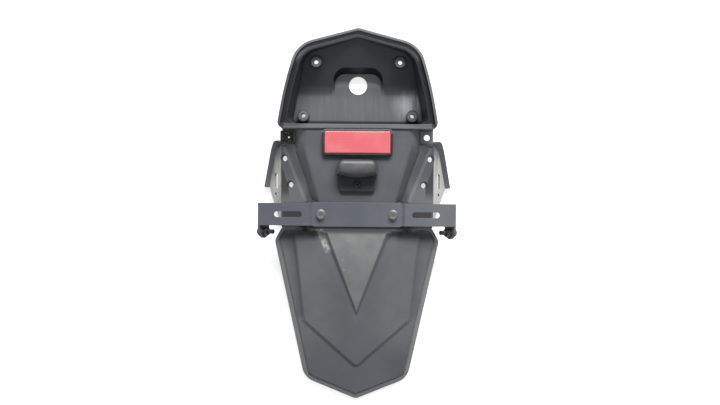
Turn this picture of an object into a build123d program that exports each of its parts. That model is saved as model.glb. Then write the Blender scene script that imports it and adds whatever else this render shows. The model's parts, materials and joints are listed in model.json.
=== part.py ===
"""Motorcycle rear fender with tail-lamp bucket, reflector, plate lamp and plate bracket.

Millimetres. The fender lies on its front side: +Z is the rear face, looking up, +Y runs
towards the tail lamp, +X is to the right. Z = 0 is the plane it rests on.
"""

import os
from math import atan2, cos, dist, hypot, radians, sin, sqrt, tan

from build123d import *

# Lengths along the fender
BUCKET_LEN = 130.6
PANEL_LEN = 131.6
FLAP_LEN = 225.8

# Moulded walls and heights
WALL = 3.0
RIM_Z = 50.0
LIP_STEP = 2.5

# Rim of the tail-lamp bucket
RIM_SHOULDER_HALF = 79.9
RIM_SHOULDER_DROP = 21.2
RIM_LOW_HALF = 105.0
RIM_SIDE_BOW = 3.2
RIM_SIDE_R = 500.0
RIM_SHOULDER_R = 38.0
RIM_LOW_R = 9.0
RIM_APEX_R = 5.0
RIM_LEAST_R = 2.0
RIM_EDGE_R = 1.6
RIM_WIDTH = 11.5
RIM_SKIRT = 9.5
RIM_SKIRT_T = 2.4
LIP_WIDTH = 6.4
GROOVE_INSET = 3.6
GROOVE_W = 5.0
GROOVE_DEPTH = 4.5
RIB_DROP = 1.6

# Inside of the bucket
BUCKET_DRAFT = 5.0
SLOPE_ANGLE = 32.8
FLOOR_LEN = 47.5
ARCH_HALF = 31.0
ARCH_LEN = 24.0
ARCH_R = 14.0
ARCH_FOOT_R = 1.0
ARCH_DRAFT = 16.0
SLOPE_FOOT_R = 18.0
CABLE_HOLE_D = 24.4
CABLE_HOLE_UP = 8.5
BOSS_HOLE_D = 5.6
TOP_BOSS_D = 14.4
TOP_BOSS_HALF = 55.0
TOP_BOSS_FROM_APEX = 41.5
TOP_BOSS_Z = 32.5
LOW_BOSS_D = 16.0
LOW_BOSS_HALF = 72.6
LOW_BOSS_FROM_LIP = 21.1
LOW_BOSS_Z = 12.0

# Spine: the flat raised panel and its sloping side walls
PANEL_HALF = 68.4
PANEL_TAPER = 0.285
TAPER_FROM_LIP = 26.7
SPINE_WALL_SLOPE = 1.35
SPINE_EDGE_R = 5.0

# Raised pad under the plate bracket
PAD_HALF = 61.7
PAD_LEN = 36.0
PAD_BEVEL = 3.0
PAD_STEP = 8.0
PAD_CORNER_R = 4.0
PAD_EDGE_R = 1.5

# Side pockets: places in from or out from the crease, and down from the lip
POCKET_TOP = 18.9
POCKET_END_DROP = 14.5
STRIP_TOP_IN = 3.0
STRIP_TOP_Z = 26.5
STRIP_LOW_IN = 32.5
STRIP_LOW_Z = 34.5
STRIP_SLOPE = 0.2
POCKET_LOW = 91.7
CREASE_OUT = 1.0
CREASE_LOW_Z = 24.5
OUTER_SLOPE = 1.0
BRIM_LOW = 75.1
BRIM_LOW_OUT = 17.2
BRIM_W = 7.4
BRIM_TOP = 13.4
BRIM_TOP_R = 5.0
BRIM_SIDE_R = 4.0
BRIM_END_R = 1.5
SIDE_END_OUT = -2.6
CREASE_R = 4.0
POCKET_HOLE_D = 7.2
POCKET_HOLES = ((4.5, 37.5), (12.9, 71.9))
SIGNAL_SLOT_W = 7.0
SIGNAL_SLOT_LEN = 21.0
SIGNAL_SLOT_FROM_LIP = 67.0
WIRE_HOLE_D = 5.0
WIRE_HOLE_FROM_LIP = 84.5

# Ears between the bucket and the pockets
EAR_Z = 28.0
EAR_W = 16.2
EAR_HOLE_D = 8.0
EAR_HOLE_FROM_LIP = 9.0

# Flap
FLAP_RIDGE_Z = 43.5
FLAP_TIP_Z = 14.6
ROOF_SLOPE = 0.048
FLAP_TOP_HALF = 97.0
FLAP_TOP_UP = 6.0
FLAP_WIDE_HALF = 107.7
FLAP_WIDE_DOWN = 12.8
FLAP_LOW_HALF = 68.9
FLAP_LOW_UP = 28.0
FLAP_CORNER_R = 24.0
FLAP_WIDE_R = 10.0
FLAP_TOP_R = 10.0
FLAP_TIP_R = 10.0
FLAP_LEAST_R = 3.0
EDGE_W = 7.0
EDGE_STEP = 2.0
EDGE_STEP_RUN = 1.6
SKIRT_RUN = 4.5
SKIRT_RISE = 4.5
SKIRT_DEPTH = 13.0
REST_LEN = 12.0
BORDER_STEP = 3.0
SHIELD_TOP_HALF = 84.0
SHIELD_LOW_HALF = 71.0
SHIELD_LOW_DOWN = 120.0
SHIELD_TIP_UP = 42.5
SHIELD_BEVEL = 4.0
SHIELD_BEVEL_RISE = 2.7
SHIELD_R = 9.0
VEE_HALF = 43.0
VEE_LEN = 115.4
VEE_RISE = 1.4
VEE_BEVEL = 4.0
VEE_BEVEL_RISE = 3.4
VALLEY_W = 9.0
VALLEY_TIP_W = 4.0
VALLEY_DEPTH = 1.5

# Reflector
REFLECTOR_W = 90.0
REFLECTOR_H = 34.0
REFLECTOR_T = 6.0
REFLECTOR_GAP = 0.3
REFLECTOR_R = 4.5
REFLECTOR_FRAME = 2.4
REFLECTOR_FLOOR = 2.8
LENS_T = 4.2
LENS_EDGE_R = 1.6
STUD_D = 5.0
STUD_HEAD_D = 12.0
STUD_HEAD_T = 1.2

# Plate lamp
LAMP_GAP = 5.6
LAMP_BASE_W = 45.2
LAMP_BASE_LEN = 36.0
LAMP_BASE_T = 4.0
LAMP_BASE_R = 4.0
LAMP_EDGE_R = 1.2
GASKET_T = 1.5
GASKET_INSET = 1.2
HOOD_W = 52.8
HOOD_LEN = 24.2
HOOD_H = 17.0
HOOD_BOW = 5.2
HOOD_R = 10.0
HOOD_TOP_R = 6.5
HOOD_WALL = 2.4
HOOD_SINK = 2.0
LAMP_ROOM_HALF = 20.5
LAMP_ROOM_R = 2.5
WINDOW_T = 2.5
WINDOW_IN = 7.0
SOCKET_D = 9.0
SOCKET_LEN = 9.0
SOCKET_EDGE_R = 0.8
BULB_D = 8.0
BULB_LEN = 19.0
BULB_END_R = 3.6
LAMP_SCREW_UP = 9.5
LAMP_SCREW_D = 5.0
LAMP_SCREW_HEAD_D = 9.2
LAMP_SCREW_HEAD_H = 3.0
LAMP_SCREW_EDGE_R = 1.8
CROSS_LEN = 5.5
CROSS_W = 1.2
LAMP_SINK_D = 11.0
LAMP_SINK_DEPTH = 1.6
LAMP_WIRE_D = 6.0
LAMP_PEG_D = 5.0
LAMP_PEG_LEN = 8.0

# Plate bracket
STRIP_T = 2.5
ARM_H = 29.0
MID_H = 31.4
MID_HALF = 57.5
JOGGLE = 3.5
JOGGLE_RUN = 4.5
ARM_END_HALF = 127.3
ARM_R = 3.0
BEND_R = 3.0
BRACKET_UP = 21.4
SLOT_HALF = 88.5
SLOT_LEN = 35.5
SLOT_W = 7.5
PLATE_BOLT_HALF = 46.5
TAB_R = 10.0
TAB_DOWN = 8.0
TAB_BACK = 9.5
TAB_LEAN = 27.0

# Fasteners
M6 = 6.0
M6_CLEAR = 6.8
M6_FLANGE_D = 12.8
M6_FLANGE_T = 1.6
M6_HEX = 9.0
M6_HEAD_H = 5.6
M6_NUT_HEX = 10.0
M6_NUT_H = 5.0
M6_WASHER_D = 14.0
WASHER_T = 1.2
M5_NUT_HEX = 8.0
M5_NUT_H = 4.0
M5_WASHER_D = 11.0
THREAD_OUT = 3.0
TAB_THREAD_OUT = 8.0
THREAD_GAP = 0.3

# Spring clip on the left ear
CLIP_T = 0.8
CLIP_W = 16.0
CLIP_ROOM = 1.2
CLIP_LOOP = 1.6
CLIP_HOLE_D = 8.6

# Places worked out from the sizes above
LENGTH = BUCKET_LEN + PANEL_LEN + FLAP_LEN
APEX_CUT = RIM_APEX_R * (hypot(RIM_SHOULDER_HALF, RIM_SHOULDER_DROP) / RIM_SHOULDER_HALF - 1)
TIP_CUT = FLAP_TIP_R * (hypot(FLAP_LOW_HALF, FLAP_LOW_UP) / FLAP_LOW_HALF - 1)
APEX_Y = (LENGTH + APEX_CUT - TIP_CUT) / 2
LIP_Y = APEX_Y - BUCKET_LEN
PAD_Y = LIP_Y - PANEL_LEN
TIP_Y = PAD_Y - FLAP_LEN
PANEL_Z = RIM_Z - LIP_STEP
BACK_Z = PANEL_Z - WALL
CAVITY_Y = LIP_Y + LIP_WIDTH
DRAFT = tan(radians(BUCKET_DRAFT))
SLOPE_FOOT_Y = CAVITY_Y + FLOOR_LEN
SPINE_FOOT_HALF = PANEL_HALF + (PANEL_Z - EAR_Z) / SPINE_WALL_SLOPE
EAR_HOLE_HALF = SPINE_FOOT_HALF + EAR_W / 2
EAR_OUTER_HALF = SPINE_FOOT_HALF + EAR_W
CREASE_HALF = EAR_OUTER_HALF + CREASE_OUT
BRIM_TOP_HALF = CREASE_HALF + BRIM_W
BRIM_LOW_HALF = CREASE_HALF + BRIM_LOW_OUT
POCKET_Y = LIP_Y - POCKET_TOP
BRIM_END_Y = LIP_Y - BRIM_LOW
RIDGE_FALL = (FLAP_RIDGE_Z - FLAP_TIP_Z) / FLAP_LEN
REFLECTOR_Y = LIP_Y - REFLECTOR_GAP - REFLECTOR_H / 2
HOOD_TOP_Y = REFLECTOR_Y - REFLECTOR_H / 2 - LAMP_GAP
HOOD_MOUTH_Y = HOOD_TOP_Y - HOOD_LEN
LAMP_BASE_TOP_Y = HOOD_TOP_Y - HOOD_R / 2
LAMP_BASE_LOW_Y = LAMP_BASE_TOP_Y - LAMP_BASE_LEN
LAMP_SEAT_Z = PANEL_Z + GASKET_T
LAMP_FLOOR_Z = LAMP_SEAT_Z + LAMP_BASE_T
LAMP_SCREW_Y = LAMP_BASE_LOW_Y + LAMP_SCREW_UP
BRACKET_Y = PAD_Y + BRACKET_UP
ARM_Z = PANEL_Z + JOGGLE
BIG = 2 * LENGTH


def box_between(low, high):
    """Box from its lowest corner to its highest."""
    size = [b - a for a, b in zip(low, high)]
    mid = [(a + b) / 2 for a, b in zip(low, high)]
    return Pos(*mid) * Box(*size)


def drum(x, y, low, high, diameter):
    """Upright cylinder between two heights."""
    return Pos(x, y, (low + high) / 2) * Cylinder(diameter / 2, high - low)


def both_sides(shape):
    """The shape and its mirror image across the middle of the fender."""
    return shape + mirror(shape, about=Plane.YZ)


def roof(a, b, c):
    """Plane through three points, facing up."""
    normal = (Vector(*b) - Vector(*a)).cross(Vector(*c) - Vector(*a))
    return Plane(origin=a, z_dir=normal if normal.Z > 0 else normal * -1)


def under(shape, *planes):
    """What is left of a shape below some planes."""
    for plane in planes:
        shape = split(shape, bisect_by=plane, keep=Keep.BOTTOM)
    return shape


def meet(p, u, q, v):
    """Point where the line p + u meets the line q + v."""
    turn = u[0] * v[1] - u[1] * v[0]
    t = ((q[0] - p[0]) * v[1] - (q[1] - p[1]) * v[0]) / turn
    return (p[0] + t * u[0], p[1] + t * u[1])


def moved_in(p, q, d):
    """A point and direction of the line p to q, moved d to the right of its travel."""
    run = hypot(q[0] - p[0], q[1] - p[1])
    u = ((q[0] - p[0]) / run, (q[1] - p[1]) / run)
    return (p[0] + d * u[1], p[1] - d * u[0]), u


def face_of(points, radii, z=0.0):
    """Flat face at a height, with its corners rounded."""
    line = FilletPolyline(*points, radius=radii, close=True)
    return Pos(0, 0, z) * make_face(line)


def prism(points, radii, low, high):
    """Upright prism with rounded corners."""
    return extrude(face_of(points, radii, low), high - low, dir=(0, 0, 1))


def mirrored(points):
    """Closed outline from its right half, listed from the middle top to the middle bottom."""
    left = [(-x, y) for x, y in reversed(points) if x > 0]
    return [*points, *left]


def half_turn(before, corner, after):
    """Tangent of half the angle by which an outline turns at a corner."""
    back = atan2(corner[1] - before[1], corner[0] - before[0])
    ahead = atan2(after[1] - corner[1], after[0] - corner[0])
    return abs(tan((ahead - back) / 2))


def bucket_outline(inset, bottom_y, z):
    """Outline of the bucket, moved in from the rim's edge, at a height."""
    apex = (0.0, APEX_Y)
    shoulder = (RIM_SHOULDER_HALF, APEX_Y - RIM_SHOULDER_DROP)
    corner = (RIM_LOW_HALF, LIP_Y)
    middle = ((shoulder[0] + corner[0]) / 2, (shoulder[1] + corner[1]) / 2)
    bow, _ = moved_in(middle, corner, -RIM_SIDE_BOW)
    top = moved_in(apex, shoulder, inset)
    upper = moved_in(shoulder, bow, inset)
    lower = moved_in(bow, corner, inset)
    points = [
        meet(*top, (0.0, 0.0), (0.0, 1.0)),
        meet(*top, *upper),
        meet(*upper, *lower),
        meet(*lower, (0.0, bottom_y), (1.0, 0.0)),
    ]
    shoulder_r = max(RIM_SHOULDER_R - inset, RIM_LEAST_R)
    apex_r = RIM_APEX_R + inset
    before, turn, after = points[1:]
    room = min(
        dist(before, turn) - shoulder_r * half_turn(points[0], before, turn) - RIM_LEAST_R,
        dist(turn, after) - RIM_LOW_R * half_turn(turn, after, (0.0, bottom_y)) - RIM_LEAST_R,
    )
    side_r = min(RIM_SIDE_R - inset, room / half_turn(before, turn, after))
    radii = [apex_r, shoulder_r, side_r, RIM_LOW_R, RIM_LOW_R, side_r, shoulder_r]
    return face_of(mirrored(points), radii, z)


def slope_plane(drop):
    """Plane of the bucket's sloping upper wall, lowered square to itself."""
    a = radians(SLOPE_ANGLE)
    foot = (0, SLOPE_FOOT_Y, WALL)
    return Plane(origin=foot, x_dir=(1, 0, 0), z_dir=(0, -sin(a), cos(a))).offset(-drop)


def bucket_form(grow, floor_z, top_z):
    """The bucket's hollow, grown by a wall, from its floor up."""
    depth = RIM_Z - floor_z
    rise = top_z - floor_z
    low_in = RIM_WIDTH + depth * DRAFT - grow
    low_y = CAVITY_Y + depth * DRAFT - grow
    low = bucket_outline(low_in, low_y, floor_z)
    high = bucket_outline(low_in - rise * DRAFT, low_y - rise * DRAFT, top_z)
    form = loft([low, high], ruled=True)
    form = split(form, bisect_by=slope_plane(grow), keep=Keep.TOP).solid()
    if grow == 0:
        foot = form.edges().filter_by(Axis.X).sort_by(Axis.Z)[:2].sort_by(Axis.Y)[-1]
        form = form.fillet(SLOPE_FOOT_R, [foot])
    return form + arch_form(grow, floor_z)


def arch_form(grow, floor_z):
    """The arched notch in the sloping wall, grown by a wall."""
    lean = tan(radians(ARCH_DRAFT))
    steep = tan(radians(SLOPE_ANGLE))
    rise = ARCH_LEN * steep / (1 - steep * lean) + WALL
    spread = rise * lean
    faces = []
    for z, more in ((floor_z, 0.0), (floor_z + rise, spread)):
        half = ARCH_HALF + grow + more
        top = SLOPE_FOOT_Y + ARCH_LEN + grow + more
        low = SLOPE_FOOT_Y - ARCH_R
        r = ARCH_R + grow + more
        points = [(-half, low), (half, low), (half, top), (-half, top)]
        faces.append(face_of(points, [ARCH_FOOT_R, ARCH_FOOT_R, r, r], z))
    return loft(faces, ruled=True)


def rim():
    """Flanged rim with a turned-down edge and the groove for the lamp's seal."""
    low_z = RIM_Z - RIM_SKIRT
    top = bucket_outline(0.0, LIP_Y, RIM_Z)
    flange = extrude(top, RIM_SKIRT, dir=(0, 0, -1))
    outer_edge = flange.faces().sort_by(Axis.Z)[-1].edges()
    flange = fillet(outer_edge, RIM_EDGE_R)
    under_z = RIM_Z - GROOVE_DEPTH - WALL
    room = extrude(bucket_outline(RIM_SKIRT_T, LIP_Y + RIM_SKIRT_T, low_z), under_z - low_z)
    open_y = LIP_Y - GROOVE_W
    groove_out = bucket_outline(GROOVE_INSET, open_y - RIM_LOW_R, RIM_Z)
    groove_in = bucket_outline(GROOVE_INSET + GROOVE_W, open_y - RIM_LOW_R, RIM_Z)
    ring = extrude(groove_out, GROOVE_DEPTH, dir=(0, 0, -1))
    ring -= extrude(groove_in, 2 * GROOVE_DEPTH, dir=(0, 0, -1), both=True)
    rib = extrude(bucket_outline(GROOVE_INSET, CAVITY_Y, RIM_Z), RIB_DROP, dir=(0, 0, -1))
    return flange - room - ring - rib


def spine_form(grow):
    """Solid under the spine's panel and side walls, drawn in by a wall."""
    top = PANEL_Z - grow
    high_y = CAVITY_Y + WALL - grow
    low = EAR_Z - WALL if grow == 0 else -WALL
    form = box_between((-BIG, PAD_Y + WALL, low), (BIG, high_y, top))
    start_y = LIP_Y - TAPER_FROM_LIP
    down = 10.0
    out = down / SPINE_WALL_SLOPE
    edge = (PANEL_HALF, start_y, PANEL_Z)
    upper = roof(edge, (PANEL_HALF, start_y + 10, PANEL_Z), (PANEL_HALF + out, start_y, PANEL_Z - down))
    along = (PANEL_HALF - PANEL_TAPER * 10, start_y - 10, PANEL_Z)
    square = sqrt(1 + PANEL_TAPER**2)
    foot = (PANEL_HALF + out * square, start_y, PANEL_Z - down)
    lower = roof(edge, along, foot)
    right = under(form, upper.offset(-grow), lower.offset(-grow))
    right = split(right, bisect_by=Plane.YZ, keep=Keep.TOP)
    if grow == 0:
        crests = [e for e in right.edges() if abs(e.center().Z - top) < 0.01]
        crests = [e for e in crests if e.center().X > 1 and abs(e.tangent_at(0.5).Y) > 0.5]
        right = fillet(crests, SPINE_EDGE_R)
    return both_sides(right)


def pad_form(grow):
    """Solid of the raised pad, drawn in by a wall."""
    low_z = PANEL_Z - PAD_STEP - 2 * WALL
    fall = PANEL_Z - low_z
    spread = PAD_BEVEL * fall / PAD_STEP
    faces = []
    for z, more in ((low_z, spread), (PANEL_Z, 0.0)):
        half = PAD_HALF + more - grow
        low_y = PAD_Y - more + grow
        top_y = PAD_Y + PAD_LEN + more - grow
        points = [(-half, low_y), (half, low_y), (half, top_y), (-half, top_y)]
        faces.append(face_of(points, PAD_CORNER_R, z - grow))
    form = loft(faces, ruled=True)
    if grow == 0:
        form = fillet(form.faces().sort_by(Axis.Z)[-1].edges(), PAD_EDGE_R)
    return form


def pocket_planes():
    """Planes of the strip, the inner facet and the steep outer facet of a pocket."""
    top = (CREASE_HALF - STRIP_TOP_IN, POCKET_Y, STRIP_TOP_Z)
    low_y = LIP_Y - POCKET_LOW
    low = (CREASE_HALF - STRIP_LOW_IN, low_y, STRIP_LOW_Z)
    run = hypot(top[0] - low[0], top[1] - low[1])
    side = ((low[1] - top[1]) / run, (top[0] - low[0]) / run)
    inner = (top[0] + 10 * side[0], top[1] + 10 * side[1], STRIP_TOP_Z + 10 * STRIP_SLOPE)
    strip = roof(top, low, inner)
    crease = (CREASE_HALF, low_y, CREASE_LOW_Z)
    facet = roof(top, low, crease)
    normal = facet.z_dir
    rise = -normal.Y / normal.Z
    crease_top = (CREASE_HALF, low_y + 10, CREASE_LOW_Z + 10 * rise)
    outer = roof(crease, crease_top, (CREASE_HALF + 10, low_y, CREASE_LOW_Z - 10 * OUTER_SLOPE))
    return strip, facet, outer


def height_on(plane, x, y):
    """Height of a plane above a place."""
    n, o = plane.z_dir, plane.origin
    return o.Z - (n.X * (x - o.X) + n.Y * (y - o.Y)) / n.Z


def side_outline(top_y):
    """Right half of the pockets' outline seen from above, from an upper end."""
    return [
        (0.0, top_y),
        (CREASE_HALF, top_y),
        (BRIM_TOP_HALF, POCKET_Y - BRIM_W),
        (BRIM_LOW_HALF, BRIM_END_Y),
        (CREASE_HALF + SIDE_END_OUT, PAD_Y),
        (0.0, PAD_Y),
    ]


def pocket_form(grow):
    """Solid under one pocket's facets, drawn in by a wall."""
    points = side_outline(POCKET_Y - grow)
    face = Pos(0, 0, -grow) * make_face(Polyline(*points, close=True))
    form = extrude(face, PANEL_Z - PAD_STEP, dir=(0, 0, 1))
    planes = [p.offset(-grow) for p in pocket_planes()]
    form = under(form, *planes).solid()
    if grow == 0:
        keep = []
        for e in form.edges():
            x, y, z = e.center().X, e.center().Y, e.center().Z
            on = [abs(height_on(p, x, y) - z) < 0.01 for p in planes]
            if sum(on) == 2 and 0 < x:
                keep.append(e)
        form = form.fillet(CREASE_R, keep)
        low = (-BIG, POCKET_Y - BRIM_W, -WALL)
        form -= box_between(low, (BIG, BIG, EAR_Z - POCKET_END_DROP))
    return form


def brim():
    """Flange along the outer foot of a pocket."""
    outer = pocket_planes()[2]
    top = (BRIM_TOP_HALF, POCKET_Y - BRIM_W)
    low = (BRIM_LOW_HALF, BRIM_END_Y)
    top_z, low_z = height_on(outer, *top), height_on(outer, *low)
    rise = (top_z - low_z) / (top[1] - low[1])
    lie = roof((0, low[1], low_z), (10, low[1], low_z), (0, low[1] + 10, low_z + 10 * rise))
    tuck = WALL / 2
    end_y = LIP_Y - BRIM_TOP
    points = [
        (CREASE_HALF - 2 * WALL, end_y),
        (top[0] + BRIM_W / 2, end_y),
        (top[0] + BRIM_W, top[1]),
        (low[0] + BRIM_W, low[1]),
        (low[0] - tuck, low[1]),
        (top[0] - tuck, top[1]),
        (CREASE_HALF - 2 * WALL, POCKET_Y - WALL),
    ]
    form = prism(points, [0, BRIM_TOP_R, BRIM_SIDE_R, BRIM_END_R, 0, 0, 0], 0.0, RIM_Z)
    form = under(form, lie)
    return split(form, bisect_by=lie.offset(-WALL), keep=Keep.TOP)


def ear():
    """Plate that bridges the bucket and a pocket, with its fixing hole."""
    low = (SPINE_FOOT_HALF - WALL, POCKET_Y - WALL / 2, EAR_Z - WALL)
    high = (EAR_OUTER_HALF, CAVITY_Y + WALL, EAR_Z)
    plate = box_between(low, high)
    y = LIP_Y - EAR_HOLE_FROM_LIP
    return plate - drum(EAR_HOLE_HALF, y, EAR_Z - 2 * WALL, EAR_Z + WALL, EAR_HOLE_D)


def ridge_z(y):
    """Height of the flap's ridge."""
    return FLAP_RIDGE_Z - (PAD_Y - y) * RIDGE_FALL


def flap_roof(lower):
    """Right-hand roof plane of the flap, lowered by a step."""
    a = (0, PAD_Y, ridge_z(PAD_Y) - lower)
    b = (0, TIP_Y, ridge_z(TIP_Y) - lower)
    c = (100, PAD_Y, ridge_z(PAD_Y) - lower - 100 * ROOF_SLOPE)
    return roof(a, b, c)


def roofed(form, lower, grow, run, rise):
    """A form cut under the flap's two roof planes, its edge bevelled by a run and a rise."""
    right = split(form, bisect_by=Plane.YZ, keep=Keep.TOP)
    plane = flap_roof(lower).offset(-grow)
    right = under(right, plane).solid()
    top = [f for f in right.faces() if abs(f.normal_at().dot(plane.z_dir)) > 0.9999]
    face = max(top, key=lambda f: f.center().Z)
    high_y = right.bounding_box().max.Y
    rim = [e for e in face.edges() if e.center().X > 1 and e.center().Y < high_y - 0.01]
    return both_sides(right.chamfer(run, rise, rim, face))


def flap_outline(inset, z):
    """Outline of the flap moved in from where its edge would reach the resting plane."""
    corners = [
        (FLAP_TOP_HALF, PAD_Y + FLAP_TOP_UP),
        (FLAP_WIDE_HALF, PAD_Y - FLAP_WIDE_DOWN),
        (FLAP_LOW_HALF, TIP_Y + FLAP_LOW_UP),
        (0.0, TIP_Y),
    ]
    top_y = corners[0][1] - max(inset, 0.0)
    lines = [moved_in(p, q, inset) for p, q in zip(corners, corners[1:])]
    points = [
        (0.0, top_y),
        meet(*lines[0], (0.0, top_y), (1.0, 0.0)),
        meet(*lines[0], *lines[1]),
        meet(*lines[1], *lines[2]),
        meet(*lines[2], (0.0, 0.0), (0.0, 1.0)),
    ]
    full = [FLAP_TOP_R, FLAP_WIDE_R, FLAP_CORNER_R, FLAP_TIP_R, FLAP_CORNER_R, FLAP_WIDE_R, FLAP_TOP_R]
    radii = [0, *(max(r - inset, FLAP_LEAST_R) for r in full)]
    return face_of(mirrored(points), radii, z)


def flap_form(grow):
    """Solid of the flap's border and of the lower sloping band round it, drawn in by a wall."""
    low = FLAP_TIP_Z - PANEL_Z
    band = extrude(flap_outline(grow, low), PANEL_Z - low, dir=(0, 0, 1))
    band = roofed(band, BORDER_STEP + EDGE_STEP, grow, SKIRT_RUN, SKIRT_RISE)
    border = extrude(flap_outline(EDGE_W + grow, low), PANEL_Z - low, dir=(0, 0, 1))
    return band + roofed(border, BORDER_STEP, grow, EDGE_STEP_RUN, EDGE_STEP)


def shield_form(grow):
    """Solid of the raised shield on the flap, drawn in by a wall."""
    low = FLAP_TIP_Z - PANEL_Z
    right = [
        (0.0, PAD_Y + FLAP_TOP_UP / 2),
        (SHIELD_TOP_HALF, PAD_Y + FLAP_TOP_UP / 2),
        (SHIELD_LOW_HALF, PAD_Y - SHIELD_LOW_DOWN),
        (0.0, TIP_Y + SHIELD_TIP_UP),
    ]
    radii = [0, SHIELD_R, SHIELD_R, SHIELD_R, SHIELD_R, SHIELD_R]
    plan = face_of(mirrored(right), radii)
    if grow > 0:
        plan = offset(plan, -grow)
    form = extrude(Pos(0, 0, low) * plan, PANEL_Z - low, dir=(0, 0, 1))
    return roofed(form, 0.0, grow, SHIELD_BEVEL, SHIELD_BEVEL_RISE)


def vee_foot():
    """The right-hand foot line of the raised V, from its tip to the pad, and its length."""
    tip = (0.0, PAD_Y - VEE_LEN)
    top = (VEE_HALF, PAD_Y)
    return tip, top, hypot(top[0] - tip[0], top[1] - tip[1])


def shield_z(x, y):
    """Height of the shield."""
    return ridge_z(y) - abs(x) * ROOF_SLOPE


def lowered(x, y, depth):
    """A place on the shield, lowered."""
    return (x, y, shield_z(x, y) - depth)


def valley_cut(grow):
    """The shallow valley beside the V, lowered by a wall."""
    tip, top, run = vee_foot()
    out = (VEE_LEN / run, -VEE_HALF / run)
    tip_depth = VALLEY_DEPTH * VALLEY_TIP_W / VALLEY_W
    brow = (top[0] + VALLEY_W * out[0], top[1] + VALLEY_W * out[1])
    slope = roof(lowered(*tip, tip_depth), lowered(*top, VALLEY_DEPTH), lowered(*brow, 0.0))
    low = FLAP_TIP_Z - 2 * WALL
    block = box_between((0, TIP_Y, low), (2 * VEE_HALF, PAD_Y + WALL, PANEL_Z))
    return both_sides(split(block, bisect_by=slope.offset(-grow), keep=Keep.TOP))


def vee_form(grow):
    """The raised V, level from side to side, drawn in by a wall."""
    tip, top, run = vee_foot()
    inner = (-VEE_LEN / run, VEE_HALF / run)
    tip_z = ridge_z(tip[1]) + VEE_RISE
    top_z = ridge_z(top[1]) + VEE_RISE
    level = roof((0, tip[1], tip_z), (10, tip[1], tip_z), (0, top[1], top_z))
    foot_a = (*tip, tip_z - VEE_BEVEL_RISE)
    foot_b = (*top, top_z - VEE_BEVEL_RISE)
    brow = (top[0] + VEE_BEVEL * inner[0], top[1] + VEE_BEVEL * inner[1])
    bevel = roof(foot_a, foot_b, (*brow, height_on(level, *brow)))
    low = FLAP_TIP_Z - PANEL_Z
    block = box_between((0, TIP_Y, low), (2 * VEE_HALF, PAD_Y + WALL, PANEL_Z))
    return both_sides(under(block, level.offset(-grow), bevel.offset(-grow)))


def rest_cut():
    """What is cut away under the flap's edge, so that it follows the flap."""
    start_y = TIP_Y + REST_LEN
    edge_z = ridge_z(PAD_Y) - BORDER_STEP - FLAP_WIDE_HALF * ROOF_SLOPE - SKIRT_DEPTH
    lie = roof((0, start_y, 0), (10, start_y, 0), (0, PAD_Y, edge_z))
    block = box_between((-BIG, TIP_Y - WALL, -BIG), (BIG, PAD_Y + FLAP_TOP_UP, FLAP_RIDGE_Z))
    return under(block, lie) + box_between((-BIG, -BIG, -BIG), (BIG, BIG, 0))


def flap_solid(grow):
    """The flap's solid: border, shield, valley and V, drawn in by a wall."""
    return flap_form(grow) + shield_form(grow) - valley_cut(grow) + vee_form(grow)


def bosses():
    """The four bosses that the tail lamp is bolted to."""
    top_y = APEX_Y - TOP_BOSS_FROM_APEX
    low_y = LIP_Y + LOW_BOSS_FROM_LIP
    top = drum(TOP_BOSS_HALF, top_y, WALL, TOP_BOSS_Z, TOP_BOSS_D)
    top = split(top, bisect_by=slope_plane(WALL / 2), keep=Keep.TOP)
    low = drum(LOW_BOSS_HALF, low_y, WALL / 2, LOW_BOSS_Z, LOW_BOSS_D)
    return both_sides(top + low)


def boss_holes():
    """Holes through the bosses and the cable hole in the floor."""
    top_y = APEX_Y - TOP_BOSS_FROM_APEX
    low_y = LIP_Y + LOW_BOSS_FROM_LIP
    cut = drum(TOP_BOSS_HALF, top_y, -WALL, RIM_Z, BOSS_HOLE_D)
    cut += drum(LOW_BOSS_HALF, low_y, -WALL, RIM_Z, BOSS_HOLE_D)
    cable_y = SLOPE_FOOT_Y + CABLE_HOLE_UP
    return both_sides(cut) + drum(0, cable_y, -WALL, 2 * WALL, CABLE_HOLE_D)


def pocket_holes():
    """Holes in one pocket: two fixings, the signal's slot and a wire hole."""
    strip, facet, outer = pocket_planes()
    cut = None
    for inward, down in POCKET_HOLES:
        x, y = CREASE_HALF - inward, LIP_Y - down
        lie = Plane(origin=(x, y, height_on(facet, x, y)), z_dir=facet.z_dir)
        tool = lie * Cylinder(POCKET_HOLE_D / 2, 6 * WALL)
        cut = tool if cut is None else cut + tool
    x, y = BRIM_TOP_HALF, LIP_Y - SIGNAL_SLOT_FROM_LIP
    lie = Plane(origin=(x, y, height_on(outer, x, y)), x_dir=(0, 1, 0), z_dir=outer.z_dir)
    oval = extrude(lie * SlotOverall(SIGNAL_SLOT_LEN, SIGNAL_SLOT_W), 2 * WALL, both=True)
    y = LIP_Y - WIRE_HOLE_FROM_LIP
    spot = Plane(origin=(x, y, height_on(outer, x, y)), z_dir=outer.z_dir)
    return cut + oval + spot * Cylinder(WIRE_HOLE_D / 2, 4 * WALL)


def panel_holes():
    """Holes through the spine and the pad for what is fixed to them."""
    low = BACK_Z - WALL
    high = PANEL_Z + WALL
    cut = drum(0, REFLECTOR_Y, low, high, STUD_D + 4 * THREAD_GAP)
    cut += drum(0, LAMP_SCREW_Y, low, high, LAMP_SCREW_D + 4 * THREAD_GAP)
    cut += drum(LAMP_ROOM_HALF / 2, lamp_room_mid(), low, high, LAMP_WIRE_D)
    cut += drum(0, lamp_room_mid(), low, high, LAMP_PEG_D + 2 * THREAD_GAP)
    return cut + both_sides(drum(PLATE_BOLT_HALF, BRACKET_Y, low, high, M6_CLEAR))


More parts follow.
